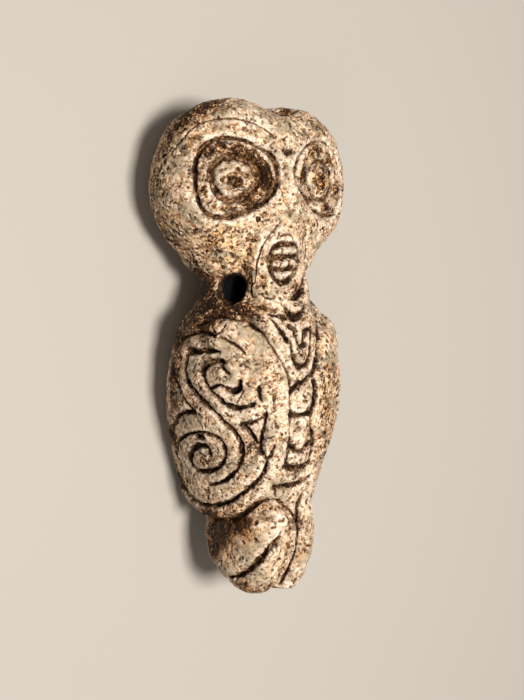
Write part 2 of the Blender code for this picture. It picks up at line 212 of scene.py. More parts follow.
blank = {
    "lobeSide": 31.0,  # steps from the middle of the figure
    "legSide": 16.0,
    "grid": 2.6,  # steps between the lines of a mass before it is fused
    "fuseVoxel": 2.1,
    "softening": 14,  # passes
    "crownWear": 4.0,  # the left crown is worn this much lower
    "crownWearFrom": 436.0,
    "fineVoxel": 0.82,
    "fineSoftening": 8,
}
eye = {
    "side": 49.0,
    "height": 402.0,
    "front": 49.5,
    "turn": 17.0,  # degrees that its disc faces outwards
    "flatEdge": 4.0,
    "fadeFrom": 330.0,  # the height under which nothing is flattened
    "fadeOver": 15.0,
}
wing = {
    "thickness": [(0, 3), (14, 3), (50, 9), (180, 9)],  # by angle from the front
    "frontEdge": [
        (71, 13), (110, 13), (126, 10), (150, 9), (203, 9), (218, 11), (235, 18), (256, 26), (268, 42),
        (275, 70),
    ],
    "lowerEdge": [(0, 92), (10, 94), (26, 90), (50, 76), (75, 70), (105, 70), (125, 76), (180, 88)],
    "top": 279.0,
    "backEdge": 172.0,  # degrees round from the front
    "frontRounding": 5.0,
    "lowerRounding": 13.0,
    "topRounding": 24.0,
    "bodyRadius": 85.0,
}
boring = {
    "height": 298.0,
    "side": 43.0,
    "front": 33.0,
    "slant": 64.0,  # degrees round from the front
    "mouth": 0.00215,  # radius in metres
    "throat": 0.0015,
    "sides": 96,
    # inside the boring, the soil and the black are painted shadow
    "soilAndShade": 1.1,
    "soilAndShadeEdge": 1.1,  # of its radius, where its soil and painted shade start to end
    "soilAndShadeFade": 0.2,
    "paintedHoleShadow": 2.4,
    "holeShadowFade": 4.0,  # steps in from the mouth over which it turns black, as painted shadow
}


def shapedMass(name, side):
    table = np.array(masses[name], float)
    height, halfWidth, front, back = table[:, 0], table[:, 1], table[:, 2], table[:, 3]
    girth = (halfWidth + (front + back) / 2) / 2
    knots = np.concatenate([[0], np.cumsum(np.hypot(np.diff(height), np.diff(girth)))])
    around = int(2 * math.pi * girth.max() / blank["grid"])
    along = int(knots[-1] / blank["grid"])
    bpy.ops.mesh.primitive_uv_sphere_add(segments=around, ring_count=along, radius=1)
    piece = bpy.context.object
    piece.name = name

    ball = pointsOf(piece.data)
    share = np.arccos(np.clip(ball[:, 2], -1, 1)) / math.pi
    turn = np.arctan2(ball[:, 0], ball[:, 1])
    at = share * knots[-1]
    height, halfWidth, front, back, squareFront, squareBack = (
        smoothThrough(knots, column, at) for column in table.T
    )
    halfDepth = np.maximum((front + back) / 2, 0)
    squareness = np.where(np.cos(turn) > 0, squareFront, squareBack)
    reach = (np.abs(np.sin(turn)) ** squareness + np.abs(np.cos(turn)) ** squareness) ** (-1 / squareness)
    across = side + np.maximum(halfWidth, 0) * np.sin(turn) * reach
    forward = (front - back) / 2 + halfDepth * np.cos(turn) * reach
    setPoints(piece.data, np.stack([across, height, forward], 1))
    pickOnly(piece)
    bpy.ops.object.mode_set(mode="EDIT")
    bpy.ops.mesh.select_all(action="SELECT")
    bpy.ops.mesh.normals_make_consistent(inside=False)
    bpy.ops.object.mode_set(mode="OBJECT")
    return piece


def roundedEdge(inside, rounding):  # 0 outside an edge, rising as a quarter circle to 1 well inside it
    t = np.clip(inside / rounding, 0, 1)
    return np.sqrt(1 - (1 - t) ** 2)


def readTable(rows, at):
    table = np.array(rows, float)
    return np.interp(at, table[:, 0], table[:, 1])


def raiseWings(torso):
    spot = pointsOf(torso.data)
    angle = np.degrees(np.arctan2(np.abs(spot[:, 0]), spot[:, 2]))
    alongBody = math.radians(1) * wing["bodyRadius"]
    lift = (
        readTable(wing["thickness"], angle)
        * roundedEdge((angle - readTable(wing["frontEdge"], spot[:, 1])) * alongBody, wing["frontRounding"])
        * roundedEdge((wing["backEdge"] - angle) * alongBody, wing["frontRounding"])
        * roundedEdge(spot[:, 1] - readTable(wing["lowerEdge"], angle), wing["lowerRounding"])
        * roundedEdge(wing["top"] - spot[:, 1], wing["topRounding"])
    )
    outward = spot * np.array([1, 0, 1])
    outward /= np.maximum(np.linalg.norm(outward, axis=1), 1e-6)[:, None]
    setPoints(torso.data, spot + outward * lift[:, None])


def flattenEye(lobe, side):
    spot = pointsOf(lobe.data)
    turn = math.radians(eye["turn"])
    facing = np.array([side * math.sin(turn), 0, math.cos(turn)])
    proud = (spot - np.array([side * eye["side"], eye["height"], eye["front"]])) @ facing
    cut = eye["flatEdge"] * np.logaddexp(0, proud / eye["flatEdge"])
    onHead = np.clip((spot[:, 1] - eye["fadeFrom"]) / eye["fadeOver"], 0, 1) * (spot[:, 2] > 0)
    setPoints(lobe.data, spot - np.outer(cut * onHead, facing))


def wearCrown(lobe):
    spot = pointsOf(lobe.data)
    wornPart = spot[:, 1].max() - blank["crownWearFrom"]
    spot[:, 1] -= blank["crownWear"] * np.clip((spot[:, 1] - blank["crownWearFrom"]) / wornPart, 0, 1)
    setPoints(lobe.data, spot)


def fuseBlank():
    shaped = []
    for side in (-1, 1):
        lobe = shapedMass("lobe", side * blank["lobeSide"])
        flattenEye(lobe, side)
        if side > 0:
            wearCrown(lobe)
        shaped += [lobe, shapedMass("leg", side * blank["legSide"])]
    torso = shapedMass("torso", 0)
    raiseWings(torso)
    shaped += [torso, shapedMass("face", 0)]
    for piece in shaped:
        piece.select_set(True)
    bpy.context.view_layer.objects.active = torso
    bpy.ops.object.join()
    torso.name = "carvedOwl"
    torso.data.name = "carvedOwl"
    setPoints(torso.data, pointsOf(torso.data) * step)
    remesh(torso, blank["fuseVoxel"], blank["softening"])
    return torso


def boringLine(side):  # where it opens in the drawing, the way out, and how far in the middle is
    slant = math.radians(boring["slant"])
    outward = Vector((side * math.sin(slant), 0, math.cos(slant)))
    mouth = Vector((side * boring["side"], boring["height"], boring["front"])) * step
    return mouth, outward, boring["side"] * step / math.sin(slant)


def drillNeck(stone, side):
    mouth, outward, bore = boringLine(side)
    flare = (boring["mouth"] - boring["throat"]) / bore
    pastMiddle, pastMouth = boring["throat"], bore / 2
    long = bore + pastMiddle + pastMouth
    bpy.ops.object.select_all(action="DESELECT")
    bpy.ops.mesh.primitive_cone_add(
        vertices=boring["sides"],
        radius1=boring["throat"] - pastMiddle * flare,
        radius2=boring["mouth"] + pastMouth * flare,
        depth=long,
        location=mouth + outward * (pastMouth - long / 2),
        rotation=outward.to_track_quat("Z", "Y").to_euler(),
    )
    drill = bpy.context.object
    applyModifier(stone, "BOOLEAN", operation="DIFFERENCE", solver="EXACT", object=drill)
    bpy.data.objects.remove(drill)


def layDown(stone):
    pickOnly(stone)
    bpy.ops.object.mode_set(mode="EDIT")
    bpy.ops.mesh.select_all(action="SELECT")
    restPlane = (0, 0, -figure["restDepth"] * step)
    bpy.ops.mesh.bisect(plane_co=restPlane, plane_no=(0, 0, 1), clear_inner=True, use_fill=True)
    bpy.ops.object.mode_set(mode="OBJECT")
    spot = pointsOf(stone.data)
    middle = (spot.min(axis=0) + spot.max(axis=0)) / 2
    ground = np.array([middle[0], middle[1], spot[:, 2].min()])
    setPoints(stone.data, spot - ground)
    return Vector(ground)


owl = fuseBlank()
for side in (-1, 1):
    drillNeck(owl, side)
ground = layDown(owl)  # where the drawing's origin went
remesh(owl, blank["fineVoxel"], blank["fineSoftening"])
print("blank", len(owl.data.vertices))


# Carved lines that the photograph shows, as (x, y, half width) in its pixels.
carvedLines = {
    "nearEye": [
        (195, 180, 2.6), (195, 167, 2.6), (199, 154, 2.6), (207, 144, 2.2), (218, 138.5, 1.7),
        (231, 137.5, 1.7), (245, 140.5, 1.9), (258, 146.5, 2.0), (269, 154, 2.4), (277, 166, 3.2),
        (279, 180, 3.6), (273, 192, 3.4), (262, 202, 3.3), (248, 211, 3.3), (231, 217, 3.3),
        (214, 217, 3.0), (203, 209, 2.2), (197, 196, 2.0), (195, 180, 2.6),
    ],
    "nearIris": [
        (212, 180, 3.8), (212, 169, 3.8), (219, 160, 3.8), (232, 157, 3.8), (246, 159.5, 4.2),
        (255.5, 167, 4.6), (258.5, 177, 4.8), (253, 189, 4.4), (243, 197, 4.2), (230, 200, 4.0),
        (218.5, 194, 4.0), (212, 180, 3.8),
    ],
    "nearIrisOuter": [(252, 147, 0.9), (262, 158, 1.1), (269, 169, 1.2), (271, 180, 1.3), (266, 190, 1.0)],
    "farEye": [
        (296, 174, 2.0), (298, 162, 2.0), (304, 151, 1.8), (311, 144, 1.6), (320, 141, 1.3),
        (329, 145, 1.5), (336, 156, 1.9), (340, 172, 2.4), (341, 190, 2.8), (338, 206, 3.2),
        (333, 214, 3.2), (325, 216, 2.6), (315, 210, 2.0), (306, 197, 1.8), (299, 185, 1.9),
        (296, 174, 2.0),
    ],
    "farIris": [
        (309, 180, 2.0), (311, 168, 2.0), (318, 161, 1.8), (326, 163, 1.9), (331, 175, 2.4),
        (331, 189, 2.6), (326, 198, 2.7), (318, 199, 2.5), (311, 191, 2.2), (309, 180, 2.0),
    ],
    "brow": [
        (171, 153, 0.9), (179, 141, 1.2), (188, 131, 1.2), (199, 123, 1.3), (213, 118.5, 1.4),
        (225, 118, 0.9), (239, 118.5, 1.4), (252, 122, 1.0), (264, 128, 0.9), (274, 136, 0.8),
    ],
    "browNick": [(284, 149, 1.5), (287, 151.5, 2.7), (290.5, 152, 3.1), (294, 151, 2.0)],
    "saddle": [(272, 111, 1.2), (282, 113, 1.9), (292, 112, 1.8), (300, 108, 1.2)],
    "cheek": [
        (281, 222, 0.8), (272, 232, 1.0), (265, 242, 1.0), (259, 252, 1.2), (256, 262, 1.3),
        (255.5, 273, 1.2), (253, 283, 1.3),
    ],
    "besideBoring": [(251, 277, 1.0), (250.5, 285, 1.8), (250, 292, 1.6), (252, 297, 1.0)],
    "muzzleFoot": [(264, 297, 0.8), (270, 299, 1.2), (275, 297, 0.9)],
    "mouthCap": [(280, 240, 0.8), (282, 236, 1.1), (288, 234.5, 1.0), (293, 236.5, 1.1), (295, 241, 0.8)],
    "rungHigh": [(273, 249, 2.0), (277, 246, 2.5), (286, 244.5, 2.7), (295, 245, 2.7), (299, 248, 2.0)],
    "rungMiddle": [(270, 260, 2.8), (276, 257.5, 2.8), (285, 257.5, 2.6), (293, 256, 2.4), (299, 254, 2.0)],
    "knobCutHigh": [(281.5, 246, 1.1), (283, 250, 1.4), (282.5, 255, 1.2)],
    "knobCutNear": [(280.5, 259, 1.1), (281.5, 263, 1.3), (281, 267, 1.1)],
    "knobCutFar": [(288.5, 258.5, 1.0), (289.5, 262, 1.3), (289, 267, 1.1)],
    "rungLow": [(271, 268, 2.2), (278, 269, 2.3), (286, 269, 2.1), (294, 267, 2.0)],
    "railNear": [(272, 249, 1.6), (270, 261, 2.6), (271, 271, 2.4), (276, 279, 2.4), (282, 283.5, 2.3)],
    "railFar": [(299.5, 248, 1.8), (299.5, 261, 2.2), (297, 270, 2.6), (291, 278, 2.4), (282, 283.5, 2.3)],
    "farCheek": [(305.5, 243, 0.9), (306.5, 252, 1.0), (305, 263, 0.8)],
    "bridgeCrack": [(305, 225, 0.7), (306.5, 231, 0.9), (306, 237, 0.7)],
    "beakChip": [(304.5, 279, 1.8), (303.5, 287, 2.7), (299.5, 294, 2.9), (292, 299, 2.0)],
    "beakTip": [(285.5, 308, 1.8), (288.5, 313, 2.4), (295, 316, 2.8), (301, 314, 2.6), (305, 308.5, 2.0)],
    "beakShade": [(286, 312, 1.8), (289, 316.5, 2.3), (295, 319, 2.6), (301, 317, 2.4), (305.5, 312, 1.8)],
    "chin": [(267, 313, 1.0), (274, 315, 1.6), (281, 316.5, 1.7), (287, 318, 1.6)],
    "farShoulder": [(306, 307, 1.8), (312, 303, 1.8)],
    "collar": [(268, 315, 1.0), (273, 320, 1.2), (279, 328, 1.5), (285, 336, 2.2), (288, 341, 2.0)],
    "gussetNear": [(290, 326, 2.2), (293.5, 328, 2.9), (296, 334, 2.7), (298.5, 340, 2.6), (302, 346, 3.0)],
    "gussetFar": [(309.5, 328, 1.8), (306, 331.5, 2.8), (304.5, 338, 2.1), (303.5, 346, 2.6)],
    "bib": [
        (291, 338, 1.0), (292.5, 350, 1.5), (295.5, 360, 2.6), (300, 366.5, 3.2), (305, 366, 2.8),
        (309.5, 359, 2.0), (311, 346, 1.5), (311.5, 331, 1.3), (311, 321, 1.1),
    ],
    "farWingEdge": [
        (312, 299, 1.6), (316, 310, 1.8), (318, 324, 2.0), (318, 345, 2.0), (316.5, 362, 2.0),
        (312, 374, 1.9), (304, 381.5, 1.7), (297, 385.5, 2.3), (292, 391, 2.1),
    ],
    "farWingFlank": [
        (314.5, 381, 2.4), (317, 390, 3.8), (315, 400, 2.8), (312, 412, 1.5), (311, 426, 1.0),
        (313.5, 439, 2.2), (311.5, 451, 1.1), (308.5, 464, 1.6),
    ],
    "nearWingEdge": [
        (236, 318, 1.3), (247, 320, 1.5), (256, 327.5, 1.9), (264, 333, 1.3), (270, 343, 1.3),
        (279, 357, 1.1), (286, 369, 1.3), (290, 379, 1.5), (291, 393, 1.3),
    ],
    "beadsNear": [
        (292, 389, 2.6), (290.5, 398, 1.0), (290.5, 407, 0.8), (291.5, 415, 2.4), (290, 425, 0.8),
        (290, 436, 0.9), (290.5, 447, 2.4), (288, 456, 1.0), (286.5, 464, 1.8),
    ],
    "beadCutA": [(293, 415.5, 3.2), (299, 415.5, 2.2), (305, 414.5, 1.9), (310, 413, 2.4)],
    "beadCutB": [(292, 447, 3.0), (297, 451, 2.3), (302, 451.5, 2.1), (306, 448, 2.5), (310, 442, 2.0)],
    "beadCutC": [(285, 468, 2.4), (291, 469, 4.0), (298, 468, 2.7), (304, 466, 2.3), (310, 462, 1.6)],
    "beadCutD": [(275, 488, 2.4), (284, 486.5, 2.5), (293, 485, 2.5), (302, 482, 2.2), (311, 476, 1.6)],
    "bellyNotch": [(275.5, 488, 1.6), (276, 497, 1.0)],
    "wingTopLine": [
        (176, 346, 2.0), (182, 339, 2.0), (191, 333.5, 2.2), (202, 331.5, 2.2), (213, 335.5, 1.9),
    ],
    "wingTopThin": [(219, 336.5, 0.9), (228, 341, 1.2), (237, 346, 1.5), (245, 353, 1.0)],
    "wingFork": [(211, 326, 0.9), (215, 334, 1.4), (221, 330, 0.9), (226, 323, 0.9)],
    "shoulderA": [(195, 325, 1.7), (202, 322, 2.0), (209, 321, 1.5)],
    "shoulderB": [(203, 316, 1.5), (214, 314, 1.8), (226, 316, 2.1), (236, 318, 1.8)],
    "longHook": [
        (188, 350, 4.0), (185.5, 360, 2.8), (185, 374, 2.2), (190, 386, 2.7), (198, 397, 2.8),
        (209, 408, 2.3), (221, 420, 1.9), (232, 430, 1.9), (240, 441, 2.2), (242, 454, 2.4),
        (238, 467, 2.3), (229, 478, 2.2), (218, 484, 1.9), (208, 485.5, 1.4),
    ],
    "crescent": [(189, 350, 4.2), (194, 351.5, 3.7), (202, 350.5, 3.0), (210, 350, 2.5), (219, 352, 1.3)],
    "smallHook": [
        (222, 362, 2.8), (214, 361, 3.3), (207, 363.5, 3.8), (202.5, 370.5, 3.5), (203.5, 380, 2.5),
        (208, 388, 1.8), (215, 396, 1.9), (225, 404, 2.2), (235, 408, 2.3), (245, 407.5, 1.9),
        (255, 404, 1.5),
    ],
    "hookBranch": [(220, 364, 1.8), (224, 370, 1.6), (229, 374, 1.0)],
    "curl": [
        (211, 388, 1.8), (219, 385, 1.6), (227, 390, 2.2), (233, 392, 2.8), (239, 388.5, 2.8),
        (240, 381, 1.8),
    ],
    "curlTail": [(244, 390, 1.2), (240, 397, 0.9), (236, 405, 0.8)],
    "limbLine": [(180, 392, 1.2), (184, 400, 1.5), (189, 407, 1.7), (194, 413, 2.0)],
    "limbHook": [(171, 426, 1.6), (176, 418, 1.9), (183, 413, 2.1), (191, 412, 2.5)],
    "limbMark": [(172, 370, 1.4), (175, 380, 1.7), (179, 388, 1.3)],
    "spiral": [
        (177, 442, 1.6), (185, 436, 1.9), (196, 433, 1.9), (208, 434.5, 1.9), (218, 440, 2.1),
        (224, 449, 2.1), (223.5, 460, 2.2), (216, 469, 2.3), (205, 472, 2.2), (195, 469, 2.2),
        (189.5, 459, 3.0), (192.5, 449.5, 3.2), (200, 446, 2.8), (207.5, 449, 2.8), (209.5, 456, 2.6),
    ],
    "spiralDark": [(195, 437, 2.6), (202, 438, 2.9)],
    "spiralLeft": [(178, 442, 1.4), (176.5, 452, 1.3), (178, 463, 1.1), (182, 472, 0.9)],
    "hem": [
        (275, 446, 1.2), (272, 454, 1.6), (267, 463, 1.6), (263.5, 474, 2.1), (256, 483, 1.9),
        (246, 491, 2.1), (234, 500, 2.4), (219, 505, 2.4), (204, 505.5, 2.2), (193, 501, 1.8),
        (186, 495, 1.4),
    ],
    "panelTop": [(242, 425, 2.2), (249, 424, 2.0), (256, 421.5, 1.3), (262, 418, 1.0)],
    "panelBack": [(243, 425, 2.3), (249, 431, 2.4), (255, 440, 2.3), (260.5, 451, 2.6), (267, 460, 1.3)],
    "panelFront": [(266, 415, 2.2), (265, 424, 1.3), (263, 433, 1.5), (261.5, 444, 2.6), (260.5, 454, 2.1)],
    "slot": [(259.5, 387, 1.8), (260, 393, 2.8), (261, 400, 1.6)],
    "scratch": [(274, 395, 0.9), (274.5, 402, 1.1), (274.5, 409, 0.8)],
    "hemFoot": [
        (200, 513, 1.4), (211, 519, 2.0), (224, 521, 2.2), (236, 519, 2.4), (247, 512, 2.2),
        (258, 503.5, 1.7), (270, 500.5, 1.3), (280, 500.5, 1.3),
    ],
    "bellyNear": [(278, 501, 1.6), (285, 507, 1.4), (291, 512, 1.5), (297, 523, 2.1)],
    "bellyFar": [(303, 495, 2.3), (299, 503, 2.2), (297, 512, 1.7), (296.5, 520, 1.7)],
    "legSplit": [
        (297, 525, 2.0), (297, 539, 1.4), (295.5, 551, 1.3), (290.5, 565, 1.6), (284.5, 576, 1.8),
        (279.5, 585, 1.6),
    ],
    "shin": [
        (228, 578, 1.6), (238, 577, 2.3), (248, 571, 2.9), (258, 562, 3.3), (267, 552.5, 3.9),
        (275, 544, 4.0), (281, 538.5, 3.0),
    ],
}

# Pits that the photograph shows, as (x, y, radius) in its pixels.
pits = [
    (218, 152, 3.0), (210, 163, 2.0), (204, 166, 2.3), (222, 180, 2.3), (246, 176, 2.5), (203, 200, 2.8),
    (228, 163, 1.5), (231, 178, 2.6), (219, 184, 1.6), (243, 186, 1.8), (227, 189, 1.4), (252, 182, 1.8),
    (196, 122, 2.5), (218, 117, 2.0), (236, 117.5, 1.7), (245, 120, 1.9), (199, 111, 2.2), (255, 112, 2.3),
    (247, 123.5, 1.6), (255, 131, 1.4), (289, 152, 2.9), (285, 150, 1.8), (276, 137, 1.5), (305, 129, 1.7),
    (309, 124, 1.4), (317, 120, 2.2), (165, 161, 2.8), (167, 168, 2.0), (162, 173, 1.9), (258, 219, 2.5),
    (243, 232, 1.5), (247, 231, 1.3), (275, 214, 1.8), (285, 293, 1.6), (280, 298, 1.9), (274, 296, 1.9),
    (272, 283, 1.6), (263, 286, 1.8), (266, 292, 1.7), (276, 288, 1.5), (293.5, 373.5, 2.0),
    (295, 456, 1.5), (309, 310, 1.6), (196, 450, 1.6), (269, 420, 1.7), (275, 421, 1.4), (278, 427, 1.6),
    (257, 469, 1.3), (246, 483, 1.3), (208, 497, 2.0), (327, 345, 1.7), (326, 385, 1.6), (321, 402, 2.2),
    (331, 400, 1.5), (327, 424, 1.5), (332, 345, 1.4), (255, 523, 3.0), (243, 526, 1.8), (228, 540, 1.8),
    (297, 526, 2.3), (244, 543, 1.7), (281, 533, 1.5), (289, 533, 1.5), (273, 528, 1.5), (245, 585, 1.6),
    (262, 586, 1.5), (263, 593, 1.4), (221, 565, 1.9),
]

# Lines on the sides that the photograph doesn't reach, as (angle from the front, height, half width).
# The right wing's run on from what shows, and the left wing's are its scrolls, further round.
turnedLines = {
    "rightHem": [(-104, 87, 2.0), (-122, 92, 1.8), (-138, 103, 1.4)],
    "rightTip": [(-103, 169, 1.6), (-116, 158, 1.8), (-124, 140, 1.8), (-121, 120, 1.6)],
    "rightShoulder": [(-102, 246, 1.8), (-112, 236, 1.8), (-116, 218, 1.6), (-110, 200, 1.4)],
}
leftScrolls = {
    "shoulder": [(41, 245), (54, 254), (72, 258), (90, 252), (102, 240), (104, 228), (97, 210), (79, 184)],
    "longHook": [
        (57, 241), (72, 240), (83, 233), (83, 218), (75, 202), (63, 185), (50, 170), (41, 155), (40, 142),
        (45, 126), (57, 114), (72, 108), (86, 107),
    ],
    "smallHook": [(48, 219), (54, 231), (62, 229), (67, 220), (64, 208), (55, 196), (44, 188), (32, 192)],
    "hem": [(19, 154), (22, 136), (29, 115), (40, 104), (59, 93), (82, 87), (107, 86)],
    "spiral": [
        (109, 149), (92, 157), (70, 162), (54, 150), (56, 134), (70, 123), (88, 122), (97, 131), (88, 140),
        (74, 145), (66, 141), (70, 134), (77, 133),
    ],
    "wingTip": [(74, 180), (89, 176), (103, 169), (115, 158)],
    "hemNotch": [(110, 150), (120, 137), (126, 124), (121, 112)],
    "curl": [(39, 208), (41, 203), (46, 202), (51, 206), (51, 211)],
}
carving = {
    "leftShift": 15.0,  # degrees that the left wing's scrolls lie further round
    "leftHalfWidth": 2.0,
    "sample": 0.7,  # steps between the places where a line is cut
    "depthShare": 2.0,  # of the half width
    "deepest": 6.5,
    "floorShare": 0.4,  # of the half width that is flat at the bottom
    "wallShare": 1.1,  # of the half width, where the wall reaches the surface
    "valley": 6.0,  # how far the worn valley reaches beyond a line, in steps
    "valleyShare": 1.2,  # of the half width, which the valley has as well
    "valleyDepth": 2.1,
    "valleyCurve": 1.5,
    "fullValley": 2.0,  # the half width from which a valley is at its deepest
    "ragged": 0.45,  # how far the chips move an edge
    "raggedDepth": 0.3,
    "chips": (0.7, 900.0),  # their share, and how many in a metre
    "smallChips": (0.5, 2500.0),
    "stain": 2.8,  # how far soil spreads from a line, in half widths
    "stainCurve": 1.4,
    "fullStain": 1.6,  # the half width from which a line holds all its soil
    "softSample": 3,  # one place in so many is enough for a soft form
    "darkness": 1.2,  # how much soil lies in a line, unless it is one of the next
    "otherDarkness": {
        0.6: ["nearIrisOuter", "farEye", "farIris", "cheek", "farCheek", "besideBoring"],
        0.65: ["nearIris"],
        0.7: ["mouthCap"],
        0.8: ["knobCutHigh", "knobCutNear", "knobCutFar"],
        0.85: ["legSplit"],
        0.9: ["brow", "wingFork"],
        0.95: ["nearEye", "railNear", "railFar", "bellyFar", "bellyNear"],
        1.0: ["rungHigh", "rungMiddle", "rungLow", "hemFoot"],
        1.1: ["shin"],
    },
    "pupil": (238, 182, 5.5, 6.0),  # x, y, radius and depth
    "farPupil": (320, 182, 5.0, 3.5),
}


def denseLine(points):
    chain = np.array(points, float)
    knots = np.concatenate([[0], np.cumsum(np.linalg.norm(np.diff(chain[:, :2], axis=0), axis=1))])
    at = np.linspace(0, knots[-1], max(3, int(knots[-1] / carving["sample"])))
    if len(chain) == 2:
        return np.stack([np.interp(at, knots, column) for column in chain.T], 1)
    return np.stack([smoothThrough(knots, column, at) for column in chain.T], 1)


def throughPhoto(tree, line):  # lays pixels of the photograph on the stone
    for x, y, halfWidth in line:
        across, up = x - photoView["wide"] / 2, photoView["tall"] / 2 - y
        target = aim + rightward * across * step + upward * up * step
        hit = tree.ray_cast(eyePoint, (target - eyePoint).normalized())[0]
        if hit:
            yield hit, halfWidth


def roundBody(tree, line):  # lays (angle, height) on the stone, seen from the body's axis
    for angle, height, halfWidth in line:
        outward = Vector((math.sin(math.radians(angle)), 0, math.cos(math.radians(angle))))
        axis = Vector((0, height * step, 0)) - ground
        axis.x = 0
        hit = tree.ray_cast(axis + outward, -outward)[0]
        if hit:
            yield hit, halfWidth


def markedPlaces(tree):  # where every line is cut, as (point, half width in steps, how much soil)
    places = []
    darkness = {name: dark for dark, names in carving["otherDarkness"].items() for name in names}
    for name, line in carvedLines.items():
        dark = darkness.get(name, carving["darkness"])
        places += [(*place, dark) for place in throughPhoto(tree, denseLine(line))]
    turned = list(turnedLines.values())
    shift, halfWidth = carving["leftShift"], carving["leftHalfWidth"]
    for line in leftScrolls.values():
        turned.append([(angle + shift, height, halfWidth) for angle, height in line])
    for line in turned:
        places += [(*place, carving["darkness"]) for place in roundBody(tree, denseLine(line))]
    return places


def nearPoints(finder, places, share, extra=0.0):  # (place, vertex, distance in steps) of all that is near
    owner, vertex, distance = [], [], []
    for i, (spot, size, *_) in enumerate(places):
        for _, index, away in finder.find_range(spot, (size * share + extra) * step):
            owner.append(i)
            vertex.append(index)
            distance.append(away / step)
    return np.array(owner), np.array(vertex), np.array(distance)


def easeOut(t):
    t = np.clip(t, 0, 1)
    return 1 - t * t * (3 - 2 * t)


def chipped(spots, vertex):  # from -1 to 1 over the surface, so that no cut has a clean edge
    value = np.zeros(len(spots))
    (share, crowd), (smallShare, smallCrowd) = carving["chips"], carving["smallChips"]
    for i in np.unique(vertex):
        place = Vector(spots[i])
        value[i] = share * noise.noise(place * crowd) + smallShare * noise.noise(place * smallCrowd)
    return value[vertex]


def carveLines(finder, spots, places, depth, soilAndShade):
    owner, vertex, distance = nearPoints(finder, places, carving["valleyShare"], carving["valley"])
    size, dark = np.array([place[1:] for place in places])[owner].T
    rough = chipped(spots, vertex)
    t = distance / size * (1 + carving["ragged"] * rough)
    wall = easeOut((t - carving["floorShare"]) / (carving["wallShare"] - carving["floorShare"]))
    reach = size * carving["valleyShare"] + carving["valley"]
    valley = easeOut(distance / reach) ** carving["valleyCurve"]
    deep = np.minimum(size * carving["depthShare"], carving["deepest"]) * (1 + carving["raggedDepth"] * rough)
    worn = carving["valleyDepth"] * np.minimum(size / carving["fullValley"], 1)
    np.maximum.at(depth, vertex, deep * wall + worn * valley)
    stain = easeOut(t / carving["stain"]) ** carving["stainCurve"]
    np.maximum.at(soilAndShade, vertex, dark * np.minimum(size / carving["fullStain"], 1) * stain)


def scatterNicks(stone, spots, crowd, dice):  # short gouges every way, more of them where crowd is high
    normal = normalsOf(stone.data)
    places = []
    while len(places) < relief["nickPlaces"]:
        i = dice.randrange(len(spots))
        facing = max(Vector(normal[i]).dot(towardsEye), relief["nickFront"] * normal[i][2])
        if dice.random() > relief["nickChance"] + facing + relief["nickCrowding"] * crowd[i]:
            continue
        along = Vector(normal[i]).cross(Vector([dice.uniform(-1, 1) for _ in range(3)])).normalized()
        widening = 1 + relief["nickWidening"] * np.clip(crowd[i], 0, 1)
        size = dice.uniform(*relief["nickHalfWidth"]) * widening
        long = dice.randint(*relief["nickLength"])
        places += [(Vector(spots[i]) + along * (k * step), size) for k in range(long)]
    return places


def carvePits(finder, spots, places, depth, soilAndShade, share):
    owner, vertex, distance = nearPoints(finder, places, relief["pitReach"])
    size = np.array([radius for _, radius in places])[owner]
    t = distance / size * (1 + relief["pitRagged"] * chipped(spots, vertex))
    np.maximum.at(depth, vertex, size * share * np.sqrt(np.clip(1 - t * t, 0, 1)))
    np.maximum.at(soilAndShade, vertex, relief["pitSoil"] * easeOut(t / relief["pitStain"]))


# Soft hollows that the photograph shows, as (x, y, half width) in its pixels.
hollows = {
    "nearEyeBand": [
        (206, 176, 5), (204, 192, 6), (212, 205, 8), (228, 208, 8), (244, 204, 8), (257, 195, 8),
        (267, 182, 7), (266, 168, 6),
    ],
    "nearEyeTop": [(207, 163, 5), (214, 151, 6), (228, 147, 6), (244, 150, 6), (258, 158, 6)],
    "farEyeBand": [
        (303, 178, 5), (306, 162, 5), (315, 151, 5), (326, 152, 5), (335, 170, 5), (336, 190, 6),
        (328, 207, 6),
    ],
    "browHollow": [(182, 152, 7), (196, 134, 7), (214, 127, 7), (236, 127, 6), (256, 134, 6)],
    "betweenEyes": [(287, 150, 7), (287, 172, 8), (286, 196, 8), (292, 214, 7)],
    "muzzleNear": [(263, 252, 7), (262, 268, 7), (264, 284, 7)],
    "throat": [(262, 308, 5), (276, 311, 5), (290, 314, 5)],
    "limbTop": [(214, 534, 8), (232, 524, 8), (252, 520, 7), (272, 518, 7)],
    "innerLeg": [(284, 540, 5), (281, 556, 5), (272, 572, 6)],
    "boringLip": [(221, 280, 8), (218, 290, 8), (224, 300, 8)],
}
hollowDepth = 0.3  # of the half width

# Soft swellings, in the same way.
swells = {
    "mouthBarA": [(278, 250.5, 4), (286, 250.5, 4.5), (295, 250, 4)],
    "mouthBarB": [(280, 263, 4), (287, 263, 4), (294, 262, 3.5)],
    "mouthBarC": [(278, 274, 4.5), (284, 275.5, 5), (289, 273, 4.5)],
    "beak": [(286, 303, 8), (296, 305, 8)],
    "boringRim": [(224, 274, 2.6), (217, 281, 3.2), (215.5, 289, 3.4), (218, 297, 3.2), (223, 303, 2.6)],
    "iris": [(226, 172, 9), (242, 172, 9), (245, 182, 9), (232, 188, 9), (222, 182, 9), (226, 172, 9)],
    "farIris": [(320, 174, 7), (322, 188, 7)],
    "spiralBoss": [(202, 454, 4.5), (202.5, 457, 4.5)],
    "beadA": [(301, 393, 8), (301, 404, 9)],
    "beadB": [(301, 424, 9), (301, 439, 9)],
    "beadC": [(297, 458, 7), (303, 457, 7)],
    "beadD": [(287, 478, 6), (303, 474, 6)],
    "kneeNear": [(272, 514, 9), (282, 518, 10), (286, 528, 9)],
    "hemBand": [(204, 513, 5), (222, 515, 5), (236, 511, 5), (248, 503, 5), (258, 494, 5)],
}
swellHeight = 0.26  # of the half width
